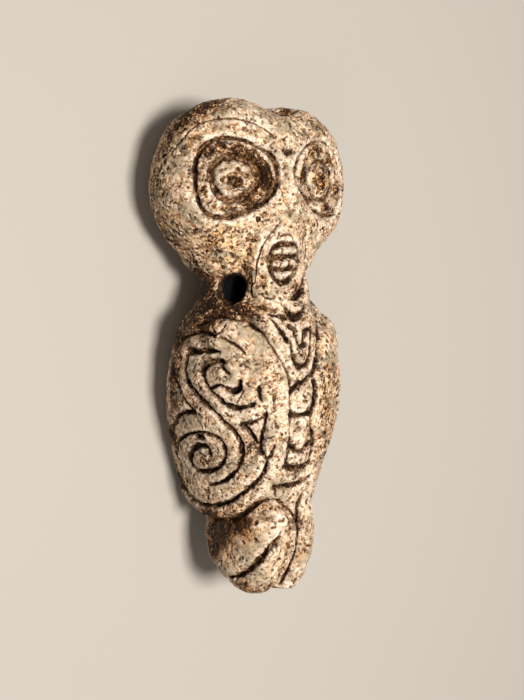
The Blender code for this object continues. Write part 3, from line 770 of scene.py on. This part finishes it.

# Brown patches that the photograph shows, as (x, y, radius, patina, grime), under 0 where it is worn clean.
# Some are painted shadow: the grime at (203, 286) beside the boring and the three under the beak tip; the
# grime at (218, 526) on the leg top is painted shadow under the wing with soil; the patina at (182, 118) and
# (208, 104) on the head's top left is partly painted shade.
stainsAndShades = [
    (156, 190, 22, 0.8, 0.2), (162, 152, 24, 0.8, 0.3), (182, 118, 26, 1.0, 0.6), (208, 104, 22, 1.0, 0.6),
    (164, 232, 22, 0.8, 0.4), (184, 264, 20, 0.4, 0.1), (212, 250, 20, 0.1, 0.0), (203, 286, 20, 1.2, 2.6),
    (222, 276, 4, -0.6, -1.0), (216.5, 282, 4, -0.8, -1.5), (215.5, 289, 4, -0.8, -1.6),
    (218, 296, 4, -0.7, -1.4), (222, 302, 4, -0.6, -1.1), (208, 308, 20, 1.2, 1.6),
    (232, 308, 16, 1.0, 1.3), (250, 312, 12, 0.8, 0.7), (248, 282, 9, 0.9, 0.9), (250, 268, 8, 0.7, 0.5),
    (206, 152, 9, 1.0, 0.8), (221, 147, 9, 1.1, 0.8), (238, 149, 9, 1.1, 0.9), (252, 156, 9, 1.1, 1.0),
    (262, 169, 10, 1.3, 1.2), (262, 185, 10, 1.3, 1.3), (249, 200, 10, 1.2, 1.1), (231, 208, 10, 0.9, 0.6),
    (213, 206, 9, 0.7, 0.3), (200, 190, 8, 0.9, 0.6), (198, 172, 8, 0.8, 0.5), (276, 182, 9, 0.9, 0.5),
    (236, 180, 11, 1.0, 0.7), (304, 176, 10, 1.3, 0.9), (316, 151, 10, 1.3, 0.8), (328, 163, 10, 1.1, 0.7),
    (311, 198, 9, 1.0, 0.6), (321, 182, 12, 1.2, 0.9), (336, 190, 10, 1.0, 0.8), (326, 208, 9, 1.0, 0.8),
    (286, 110, 10, 1.1, 0.9), (318, 124, 12, 1.0, 0.2), (272, 259, 8, 0.8, 0.8), (298, 262, 7, 0.8, 0.7),
    (299, 290, 8, 0.8, 0.7), (288, 312, 4, 1.0, 1.5), (295, 317, 4.5, 1.0, 2.2), (302, 314, 4, 1.0, 1.8),
    (300, 338, 10, 0.4, 0.1), (316, 330, 12, 0.7, 0.3), (180, 332, 26, 1.0, 1.3), (206, 322, 16, 0.8, 0.6),
    (173, 372, 15, 1.0, 1.0), (173, 400, 15, 1.0, 1.0), (175, 376, 5, 0.6, 1.0), (171, 436, 15, 1.0, 1.5),
    (180, 480, 17, 0.9, 1.0), (212, 374, 16, 0.3, 0.05), (206, 343, 13, 0.6, 0.3),
    (204, 456, 24, 0.7, 0.15), (298, 303, 12, 0.5, 0.2), (228, 356, 12, 0.4, 0.1),
    (264, 380, 20, 0.4, 0.1), (301, 354, 12, 0.5, 0.2), (252, 444, 13, 0.8, 0.4), (196, 400, 14, 0.6, 0.3),
    (236, 478, 14, 0.4, 0.0), (300, 384, 8, 0.8, 0.5), (312, 430, 7, 0.8, 0.4), (298, 470, 12, 0.6, 0.2),
    (330, 380, 24, 0.6, 0.2), (326, 440, 22, 0.7, 0.3), (218, 526, 24, 1.0, 2.1), (242, 524, 15, 0.8, 0.9),
    (211, 546, 15, 0.8, 1.3), (244, 588, 14, 0.9, 0.6), (268, 588, 12, 0.7, 0.4), (304, 548, 12, 0.7, 0.3),
    (298, 520, 10, 0.8, 0.6), (286, 570, 8, 0.7, 0.4), (262, 505, 12, 0.3, 0.35),
]

# Grey patches where the stone is glassy, as (x, y, radius).
glassyPatches = [
    (176, 140, 9), (258, 107, 8), (242, 104, 7), (163, 238, 8), (170, 200, 8), (188, 212, 9),
    (222, 128, 8), (284, 126, 9), (322, 160, 7), (331, 208, 6), (241, 331, 9), (252, 337, 9),
    (226, 345, 9), (247, 391, 9), (193, 363, 7), (196, 342, 7), (211, 374, 8), (178, 396, 8),
    (257, 370, 8), (262, 350, 7), (224, 380, 6), (183, 425, 8), (212, 455, 7), (186, 470, 8),
    (248, 470, 8), (268, 436, 7), (300, 428, 6), (328, 360, 8), (269, 516, 12), (259, 573, 9),
    (246, 551, 8), (288, 552, 7),
]


# Where the flecks are large and golden, and where they are faint, as (x, y, radius).
livelyPatches = [
    (152, 190, 22), (160, 152, 22), (168, 226, 20), (186, 250, 22), (205, 238, 18), (224, 238, 16),
    (224, 262, 18), (246, 256, 12), (190, 118, 20), (212, 100, 18), (245, 95, 16), (318, 180, 22),
    (234, 180, 14), (262, 290, 14), (202, 514, 16), (186, 486, 14), (240, 506, 14), (328, 400, 22),
    (328, 350, 18),
]
calmPatches = [
    (244, 336, 14), (222, 346, 12), (260, 354, 12), (256, 374, 12), (246, 391, 10), (264, 398, 12),
    (226, 440, 9), (222, 528, 20), (246, 528, 18), (272, 516, 18), (228, 552, 20), (256, 548, 16),
    (284, 548, 14), (266, 574, 14), (246, 590, 10), (302, 560, 12), (203, 288, 18),
]
patchFall = 1.3  # how steeply a patch fades
turnedAway = {"from": 0.3, "patinaAndShade": 0.5, "grimeAndShade": 0.15}  # painted shade with patina: browner and darker where it faces away from the camera


def softForms(finder, tree, spots, lines, share):  # how far each point is under or over one of the lines
    places = []
    for line in lines.values():
        places += throughPhoto(tree, denseLine(line)[:: carving["softSample"]])
    owner, vertex, distance = nearPoints(finder, places, 1.0)
    size = np.array([halfWidth for _, halfWidth in places])[owner]
    amount = np.zeros(len(spots))
    np.maximum.at(amount, vertex, share * size * easeOut(distance / size))
    return amount


def insideBoring(spots):  # from 1 inside it to 0 past its lip, and the same for its deep part, which is painted black as shadow
    inside, dark = np.zeros(len(spots)), np.zeros(len(spots))
    for side in (-1, 1):
        mouth, outward, bore = boringLine(side)
        apart = spots - np.array(mouth - ground)
        along = apart @ np.array(outward)
        across = np.linalg.norm(apart - np.outer(along, np.array(outward)), axis=1)
        wall = boring["mouth"] + along * (boring["mouth"] - boring["throat"]) / bore
        reached = (along < bore / 2) & (along > -bore)
        here = reached * easeOut((across / wall - boring["soilAndShadeEdge"]) / boring["soilAndShadeFade"])
        inside = np.maximum(inside, here)
        dark = np.maximum(dark, here * easeOut(along / step / boring["holeShadowFade"] + 1))
    return inside, dark


def fallOff(tree, spots, x, y, radius):  # from 1 at a pixel of the photograph to 0 well beyond the radius
    for place, size in throughPhoto(tree, [(x, y, radius)]):
        away = np.linalg.norm(spots - np.array(place), axis=1) / (size * step)
        return np.exp(-(away**2) * patchFall)
    return np.zeros(len(spots))


def patchesOf(tree, spots, patches):
    return sum(fallOff(tree, spots, *patch) for patch in patches)


def stainsAndShadeOf(tree, spots, normal):
    patinaAndShade, grimeAndShade = np.zeros(len(spots)), np.zeros(len(spots))
    for x, y, radius, brown, dark in stainsAndShades:
        fall = fallOff(tree, spots, x, y, radius)
        patinaAndShade += brown * fall
        grimeAndShade += dark * fall
    # painted shade with patina: more patina and grime where the surface turns away from the camera
    facing = normal @ np.array(towardsEye)
    unseen = np.clip(turnedAway["from"] - facing, 0, 1)
    return patinaAndShade + turnedAway["patinaAndShade"] * unseen, grimeAndShade + turnedAway["grimeAndShade"] * unseen


relief = {
    "lumps": 0.0045,  # metres across
    "lumpHeight": 0.0005,
    "dents": 0.0016,
    "dentHeight": 0.00035,
    "pecks": 0.0007,
    "peckHeight": 0.0003,
    "seed": 11,
    "scatteredPits": 700,
    "scatteredDepth": 0.9,  # of the radius
    "pitRadius": (0.8, 1.8),  # steps
    "pitDepth": 1.3,  # of the radius, as are the reach and the stain
    "pitReach": 1.9,
    "pitStain": 1.6,
    "pitRagged": 0.6,
    "pitSoil": 0.75,
    "nickPlaces": 5200,
    "nickHalfWidth": (0.8, 1.5),
    "nickLength": (2, 7),  # places in a row
    "nickDepth": 0.8,
    "nickChance": 0.3,
    "nickFront": 0.7,  # how much the owl's front counts as facing the camera
    "nickCrowding": 0.7,
    "nickWidening": 0.5,
    "calming": 1.2,  # how much the calm patches hold the nicks back
    "finePasses": 24,
    "broadPasses": 160,
    "broadReach": 2.2,  # steps
    "triangles": 196000,
}

# How much each point is pecked: the base, more where it faces the camera, and little at the back.
shown = {
    "front": 0.8,  # how much the owl's front counts as facing the camera
    "base": 0.45,
    "gain": 0.9,
    "least": 0.15,
    "inBoring": 0.1,
    "levels": 10,
}
mostMark = 2.5  # no attribute goes over this


def roughen(stone, size, height, group=""):
    cloud = bpy.data.textures.new("handWork", type="CLOUDS")
    cloud.noise_scale = size
    cloud.noise_depth = 1
    settings = {"texture": cloud, "texture_coords": "LOCAL", "strength": height, "mid_level": 0.5}
    applyModifier(stone, "DISPLACE", vertex_group=group, **settings)
    bpy.data.textures.remove(cloud)


def markShown(stone):  # a weight for each point: full on the sides that show, little underneath
    normal = normalsOf(stone.data)
    facing = np.maximum(normal @ np.array(towardsEye), shown["front"] * normal[:, 2])
    weight = np.clip(shown["base"] + shown["gain"] * facing, shown["least"], 1)
    weight[insideBoring(pointsOf(stone.data))[0] > 0.5] = shown["inBoring"]
    group = stone.vertex_groups.new(name="shown")
    levels = shown["levels"]
    for level in range(1, levels + 1):
        chosen = np.flatnonzero(np.ceil(weight * levels) == level)
        group.add(chosen.tolist(), level / levels, "REPLACE")


def addAttribute(mesh, name, values):
    attribute = mesh.attributes.new(name, "FLOAT", "POINT")
    attribute.data.foreach_set("value", np.clip(values, 0, mostMark).astype(np.float32))


def smoothedCopy(stone, passes):
    pickOnly(stone)
    bpy.ops.object.duplicate()
    twin = bpy.context.object
    soften(twin, passes)
    spot = pointsOf(twin.data)
    bpy.data.objects.remove(twin)
    return spot


def carveOwl(stone):
    roughen(stone, relief["lumps"], relief["lumpHeight"])
    roughen(stone, relief["dents"], relief["dentHeight"])
    markShown(stone)
    tree = BVHTree.FromObject(stone, bpy.context.evaluated_depsgraph_get())
    spot = pointsOf(stone.data)
    finder = KDTree(len(spot))
    for i, place in enumerate(spot):
        finder.insert(place, i)
    finder.balance()

    depth, soilAndShade = np.zeros(len(spot)), np.zeros(len(spot))
    carveLines(finder, spot, markedPlaces(tree), depth, soilAndShade)
    inBoring = insideBoring(spot)[0] > 0.5
    depth[inBoring] = 0
    depth += softForms(finder, tree, spot, hollows, hollowDepth)
    depth -= softForms(finder, tree, spot, swells, swellHeight)
    carvePits(finder, spot, list(throughPhoto(tree, pits)), depth, soilAndShade, relief["pitDepth"])
    for key in ("pupil", "farPupil"):
        x, y, radius, deep = carving[key]
        socket = list(throughPhoto(tree, [(x, y, radius)]))
        carvePits(finder, spot, socket, depth, soilAndShade, deep / radius)
    dice = random.Random(relief["seed"])
    scattered = []
    for _ in range(relief["scatteredPits"]):
        place = Vector(spot[dice.randrange(len(spot))])
        scattered.append((place, dice.uniform(*relief["pitRadius"])))
    carvePits(finder, spot, scattered, depth, soilAndShade, relief["scatteredDepth"])
    lively, calm = patchesOf(tree, spot, livelyPatches), patchesOf(tree, spot, calmPatches)
    nicks = scatterNicks(stone, spot, lively - relief["calming"] * calm, dice)
    carvePits(finder, spot, nicks, depth, soilAndShade, relief["nickDepth"])
    depth[inBoring] = 0

    spot -= normalsOf(stone.data) * (depth * step)[:, None]
    spot[:, 2] = np.maximum(spot[:, 2], 0)
    setPoints(stone.data, spot)
    roughen(stone, relief["pecks"], relief["peckHeight"], "shown")

    normal = normalsOf(stone.data)
    spot = pointsOf(stone.data)
    patinaAndShade, grimeAndShade = stainsAndShadeOf(tree, spot, normal)
    inside, dark = insideBoring(spot)
    fine, broad = (
        ((spot - smoothedCopy(stone, passes)) * normal).sum(axis=1) / step
        for passes in (relief["finePasses"], relief["broadPasses"])
    )
    marks = {
        "patinaAndShade": patinaAndShade,
        "grimeAndShade": grimeAndShade,
        "lively": lively,
        "glass": patchesOf(tree, spot, glassyPatches),
        "calm": calm,
        # soil in the lines and pits, and painted shadow inside the boring
        "soilAndShade": np.maximum(soilAndShade, np.maximum(boring["soilAndShade"] * inside, boring["paintedHoleShadow"] * dark)),
        "hollow": -fine,
        "ridgeWearAndHighlight": fine,
        "valley": -broad / relief["broadReach"],
    }
    for name, values in marks.items():
        addAttribute(stone.data, name, values)

    share = relief["triangles"] / (2 * len(spot))
    applyModifier(stone, "DECIMATE", decimate_type="COLLAPSE", ratio=share, use_collapse_triangulate=True)
    pickOnly(stone)
    bpy.ops.object.shade_smooth()


carveOwl(owl)
print("carved", len(owl.data.polygons), "triangles")


# The stone's finish. A pattern is noise, as (repeats in a millimetre, detail, roughness, distortion). A level
# turns a value from low and high into new ones. A mixture adds up values, each by its share.
stoneColours = {
    "cream": (0.66, 0.50, 0.37),
    "pale": (0.84, 0.72, 0.59),
    "tan": (0.46, 0.28, 0.14),
    "brown": (0.17, 0.078, 0.028),
    "greyGreen": (0.38, 0.315, 0.225),
    "ochre": (1.0, 0.80, 0.52),
    "gold": (1.0, 0.86, 0.62),
    # black, and the soil colour too, paint the shadow inside the boring
    "paintedHoleShadow": (0.002, 0.0012, 0.0008),
    "soilAndShade": (0.015, 0.006, 0.0022),
    # pale worn edges, partly painted highlight on the ridges
    "worn": (0.92, 0.82, 0.70),
}
stonePatterns = {
    "patches": (0.42, 4, 0.6, 1.0),
    "clouds": (0.3, 3, 0.55, 1.0),
    "ochreClouds": (0.36, 3, 0.6, 0.6),
    "drifts": (0.6, 4, 0.6, 1.2),
    "flakes": (1.3, 4, 0.62, 1.6),
    "specks": (2.8, 3, 0.6, 0.8),
    "worms": (0.85, 2, 0.5, 1.2),
    "wormBreaks": (1.3, 2, 0.5, 0.0),
    "soilClouds": (0.6, 3, 0.6, 0.0),
}
stoneLevels = {
    "patches": (0.35, 0.65, -0.4, 0.4),
    "contrast": (-0.4, 1.2, 0.5, 2.1),
    "calm": (0, 1, 1, 0.5),
    "denseTone": (-0.4, 1.4, -0.055, 0.08),
    "grimeAndShadeTone": (0, 1, 0, 0.16),
    "ochreClouds": (0.48, 0.64, 0, 0.7),
    "ochreTone": (0.36, 0.6, 0.3, 1),
    "cleanAndLit": (0, 1, 1, 0),
    "glassy": (0.52, 0.6, 0, 0.85),
    "glassyFlakes": (0.52, 0.66, 1, 0.2),
    "wormLine": (0.008, 0.026, 1, 0),
    "wormDensity": (-0.35, 1, -0.08, 0.14),
    "wormBreaks": (0.52, 0.58, 0, 1),
    "ridgeWearAndHighlight": (0.06, 0.45, 0, 0.75),
    "glassyRidge": (0, 1, 1, 0.25),
    "dirtFlakes": (0.3, 0.7, 0.4, 1.6),
    "hollowDirtAndShade": (0.08, 0.55, 0, 0.8),
    "soilClouds": (0.35, 0.62, 0.86, 1.12),
    "soilFlecks": (0.58, 0.92, -0.35, 0.35),
    "soilAndShadeEdge": (0.1, 0.8, 0, 0.85),
    "soilAndShadeCore": (0.7, 1.15, 0, 0.95),
    "paintedHoleShadow": (1.6, 2.3, 0, 1),
    "polish": (0.4, 0.6, 0.28, 0.6),
}
stoneMixtures = {
    "fine": {"flakes": 0.6, "specks": 0.45, "drifts": 0.45},
    "bold": {"flakes": 1.0, "drifts": 0.5},
    "boldness": {"lively": 0.8},
    "contrast": {"density": 1, "lively": 0.4},
    "warmth": {"patinaAndShade": 0.3, "lively": 0.35},
    "goldness": {"lively": 0.7},
    "dirtyAndShaded": {"grimeAndShade": 1, "patinaAndShade": 0.4},
    "glassy": {"clouds": 1, "glass": 0.18},
    "wormStrength": {"line": 0.8},
    "grain": {"tone": -1, "line": -0.3},
}
stoneLook = {
    "perMetre": 1000,  # so that the patterns are in millimetres
    "tones": [("pale", 0.38), ("cream", 0.46), ("tan", 0.53), ("brown", 0.60), ("soilAndShade", 0.69)],
    "earths": [("tan", 0.60), ("brown", 0.72), ("soilAndShade", 0.86)],
    "noiseMiddle": 0.75,  # what the mixed noise is on average
    "toneMiddle": 0.5,
    "wormMiddle": 0.5,
    "gloss": 0.32,  # specular level
    "soilRoughness": 0.85,
    "grainHeight": 0.00026,  # metres
}


class NodeBoard:  # puts shader nodes in one tree and joins them
    def __init__(self, name):
        self.material = bpy.data.materials.new(name)
        self.material.use_nodes = True
        self.nodes = self.material.node_tree.nodes
        self.links = self.material.node_tree.links
        self.shader = self.nodes["Principled BSDF"]

    def add(self, kind, inputs=(), **settings):
        node = self.nodes.new(kind)
        for key, value in settings.items():
            setattr(node, key, value)
        for key, value in dict(inputs).items():
            self.feed(node.inputs[key], value)
        return node

    def feed(self, socket, value):
        if isinstance(value, bpy.types.NodeSocket):
            self.links.new(value, socket)
        elif hasattr(value, "__len__") and len(value) == 3 and socket.type == "RGBA":
            socket.default_value = (*value, 1)
        else:
            socket.default_value = value

    def noise(self, place, scale, detail, roughness, distortion):
        settings = {"Vector": place, "Scale": scale, "Detail": detail}
        settings |= {"Roughness": roughness, "Distortion": distortion}
        return self.add("ShaderNodeTexNoise", settings).outputs["Fac"]

    def spread(self, value, low, high, toLow, toHigh):
        settings = {"Value": value, "From Min": low, "From Max": high, "To Min": toLow, "To Max": toHigh}
        return self.add("ShaderNodeMapRange", settings).outputs["Result"]

    def sum(self, operation, first, second):
        return self.add("ShaderNodeMath", {0: first, 1: second}, operation=operation).outputs[0]

    def mixture(self, parts):  # (value, share) pairs added up
        total, *others = [self.sum("MULTIPLY", value, share) for value, share in parts]
        for part in others:
            total = self.sum("ADD", total, part)
        return total

    def between(self, share, first, second):
        return self.add("ShaderNodeMix", {0: share, 2: first, 3: second}).outputs[0]

    def blendColours(self, share, first, second, kind="MIX"):
        node = self.add("ShaderNodeMix", data_type="RGBA", blend_type=kind)
        self.feed(node.inputs[0], share)
        self.feed(node.inputs[6], first)
        self.feed(node.inputs[7], second)
        return node.outputs[2]

    def ramp(self, value, stops):
        node = self.add("ShaderNodeValToRGB", {0: value})
        band = node.color_ramp
        while len(band.elements) < len(stops):
            band.elements.new(0.5)
        for element, (colour, position) in zip(band.elements, stops):
            element.position = position
            element.color = (*colour, 1)
        return node.outputs["Color"]

    def attribute(self, name):
        return self.add("ShaderNodeAttribute", attribute_name=name).outputs["Fac"]


def stoneMaterial():
    board = NodeBoard("oldStone")
    place = board.add("ShaderNodeTexCoord").outputs["Object"]
    place = board.add("ShaderNodeMapping", {"Vector": place, "Scale": [stoneLook["perMetre"]] * 3}).outputs[0]
    value = {name: board.noise(place, *pattern) for name, pattern in stonePatterns.items()}
    for name in ("patinaAndShade", "grimeAndShade", "lively", "calm", "glass", "ridgeWearAndHighlight", "hollow", "valley", "soilAndShade"):
        value[name] = board.attribute(name)

    def level(name, amount):
        return board.spread(amount, *stoneLevels[name])

    def mixture(name):
        return board.mixture([(value[part], share) for part, share in stoneMixtures[name].items()])

    def ramp(amount, stops):
        return board.ramp(amount, [(stoneColours[name], position) for name, position in stops])

    # the patina here also carries painted shade
    value["density"] = board.sum("ADD", level("patches", value["patches"]), value["patinaAndShade"])
    mixed = board.between(mixture("boldness"), mixture("fine"), mixture("bold"))
    contrast = board.sum("MULTIPLY", level("contrast", mixture("contrast")), level("calm", value["calm"]))
    tone = board.sum("MULTIPLY", board.sum("SUBTRACT", mixed, stoneLook["noiseMiddle"]), contrast)
    tone = board.sum("ADD", tone, stoneLook["toneMiddle"])
    tone = board.sum("ADD", tone, level("denseTone", value["density"]))
    # darker where grime and painted shade lie
    tone = board.sum("ADD", tone, level("grimeAndShadeTone", value["grimeAndShade"]))
    value["tone"] = tone
    colour = ramp(tone, stoneLook["tones"])
    ochre = board.sum("ADD", level("ochreClouds", value["ochreClouds"]), mixture("warmth"))
    ochre = board.sum("MULTIPLY", ochre, level("ochreTone", tone))
    colour = board.blendColours(ochre, colour, stoneColours["ochre"], "MULTIPLY")
    colour = board.blendColours(mixture("goldness"), colour, stoneColours["gold"], "MULTIPLY")

    # clean where there is neither grime nor painted shade
    cleanAndLit = level("cleanAndLit", mixture("dirtyAndShaded"))
    glassy = level("glassy", mixture("glassy"))
    glassy = board.sum("MULTIPLY", glassy, level("glassyFlakes", value["flakes"]))
    glassy = board.sum("MULTIPLY", glassy, cleanAndLit)
    colour = board.blendColours(glassy, colour, stoneColours["greyGreen"])

    line = board.sum("ABSOLUTE", board.sum("SUBTRACT", value["worms"], stoneLook["wormMiddle"]), 0)
    broken = board.sum("ADD", value["wormBreaks"], level("wormDensity", value["density"]))
    value["line"] = board.sum("MULTIPLY", level("wormLine", line), level("wormBreaks", broken))
    worms = mixture("wormStrength")
    colour = board.blendColours(worms, colour, stoneColours["soilAndShade"])

    # ridges turn pale where worn, partly as painted highlight
    ridgeWearAndHighlight = board.sum("MULTIPLY", level("ridgeWearAndHighlight", value["ridgeWearAndHighlight"]), cleanAndLit)
    ridgeWearAndHighlight = board.sum("MULTIPLY", ridgeWearAndHighlight, level("glassyRidge", glassy))
    colour = board.blendColours(ridgeWearAndHighlight, colour, stoneColours["worn"])
    # painted shade with dirt: earth colour in hollows and in the valleys beside the lines
    hollow = board.sum("ADD", value["hollow"], value["valley"])
    hollowDirtAndShade = board.sum("MULTIPLY", hollow, level("dirtFlakes", value["flakes"]))
    earth = ramp(mixed, stoneLook["earths"])
    colour = board.blendColours(level("hollowDirtAndShade", hollowDirtAndShade), colour, earth)
    soilAndShade = board.sum("MULTIPLY", value["soilAndShade"], level("soilClouds", value["soilClouds"]))
    soilAndShade = board.sum("ADD", soilAndShade, level("soilFlecks", mixed))
    colour = board.blendColours(level("soilAndShadeEdge", soilAndShade), colour, earth)
    core = level("soilAndShadeCore", soilAndShade)
    colour = board.blendColours(core, colour, stoneColours["soilAndShade"])
    # painted shadow: near black deep inside the boring
    colour = board.blendColours(level("paintedHoleShadow", value["soilAndShade"]), colour, stoneColours["paintedHoleShadow"])

    rough = board.sum("MULTIPLY", board.sum("MAXIMUM", core, worms), stoneLook["soilRoughness"])
    rough = board.sum("MAXIMUM", level("polish", tone), rough)
    bump = {"Height": mixture("grain"), "Strength": 1.0, "Distance": stoneLook["grainHeight"]}
    board.feed(board.shader.inputs["Base Color"], colour)
    board.feed(board.shader.inputs["Specular IOR Level"], stoneLook["gloss"])
    board.feed(board.shader.inputs["Roughness"], rough)
    board.feed(board.shader.inputs["Normal"], board.add("ShaderNodeBump", bump).outputs[0])
    return board.material


owl.data.materials.clear()
owl.data.materials.append(stoneMaterial())
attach(owl, "root")
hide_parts("owl_idol")
print("stone finished")


# The pale table, the soft light and the camera. A light's way is rightwards, towards the camera and upwards.
studio = {
    "floorWide": 1.6,
    "floorColour": (0.45, 0.43, 0.40),
    "floorRoughness": 0.85,
    "worldColour": (1.0, 0.93, 0.83),
    "worldStrength": 0.2,
    "aimHeight": 0.012,
    "nearClip": 0.01,
}
lights = {
    "key": {
        "way": (0.45, 0.82, -0.04),
        "distance": 0.45,
        "size": 0.1,
        "power": 2.4,
        "colour": (1.0, 0.95, 0.88),
    },
    "fill": {
        "way": (-0.1, 1.0, -0.7),
        "distance": 0.5,
        "size": 0.25,
        "power": 0.2,
        "colour": (1, 1, 1),
    },
}


def paleFloor():
    bpy.ops.object.select_all(action="DESELECT")
    bpy.ops.mesh.primitive_plane_add(size=studio["floorWide"])
    floor = bpy.context.object
    floor.name = "paleTable"
    board = NodeBoard("paleTable")
    board.feed(board.shader.inputs["Base Color"], studio["floorColour"])
    board.feed(board.shader.inputs["Roughness"], studio["floorRoughness"])
    floor.data.materials.append(board.material)
    floor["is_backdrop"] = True


def softLight(name):
    kind = lights[name]
    lamp = bpy.data.lights.new(name, type="AREA")
    lamp.size = kind["size"]
    lamp.energy = kind["power"]
    lamp.color = kind["colour"]
    light = bpy.data.objects.new(name, lamp)
    bpy.context.scene.collection.objects.link(light)
    right, near, up = kind["way"]
    way = rightward * right + towardsEye * near + upward * up
    light.location = Vector((0, 0, studio["aimHeight"])) + way.normalized() * kind["distance"]
    light.rotation_euler = way.to_track_quat("Z", "Y").to_euler()


def photoCamera():
    camera = bpy.data.cameras.new("photoCamera")
    camera.sensor_width = photoView["sensor"]
    camera.lens = photoView["sensor"] * photoView["distance"] / (photoView["tall"] * step)
    camera.clip_start = studio["nearClip"]
    holder = bpy.data.objects.new("photoCamera", camera)
    bpy.context.scene.collection.objects.link(holder)
    holder.rotation_euler = Matrix((rightward, upward, towardsEye)).transposed().to_euler()
    holder.location = eyePoint
    bpy.context.scene.camera = holder


paleFloor()
for name in lights:
    softLight(name)
photoCamera()

world = bpy.data.worlds.new("studio")
world.use_nodes = True
sky = world.node_tree.nodes["Background"]
sky.inputs["Color"].default_value = (*studio["worldColour"], 1)
sky.inputs["Strength"].default_value = studio["worldStrength"]
bpy.context.scene.world = world
bpy.context.scene.view_settings.view_transform = "Standard"
bpy.context.scene.view_settings.look = "Medium High Contrast"
print("lights and camera set")

boxes = {"cad": cadBox, "visual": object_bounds()}
{name: [list(corner) for corner in box] for name, box in boxes.items()}
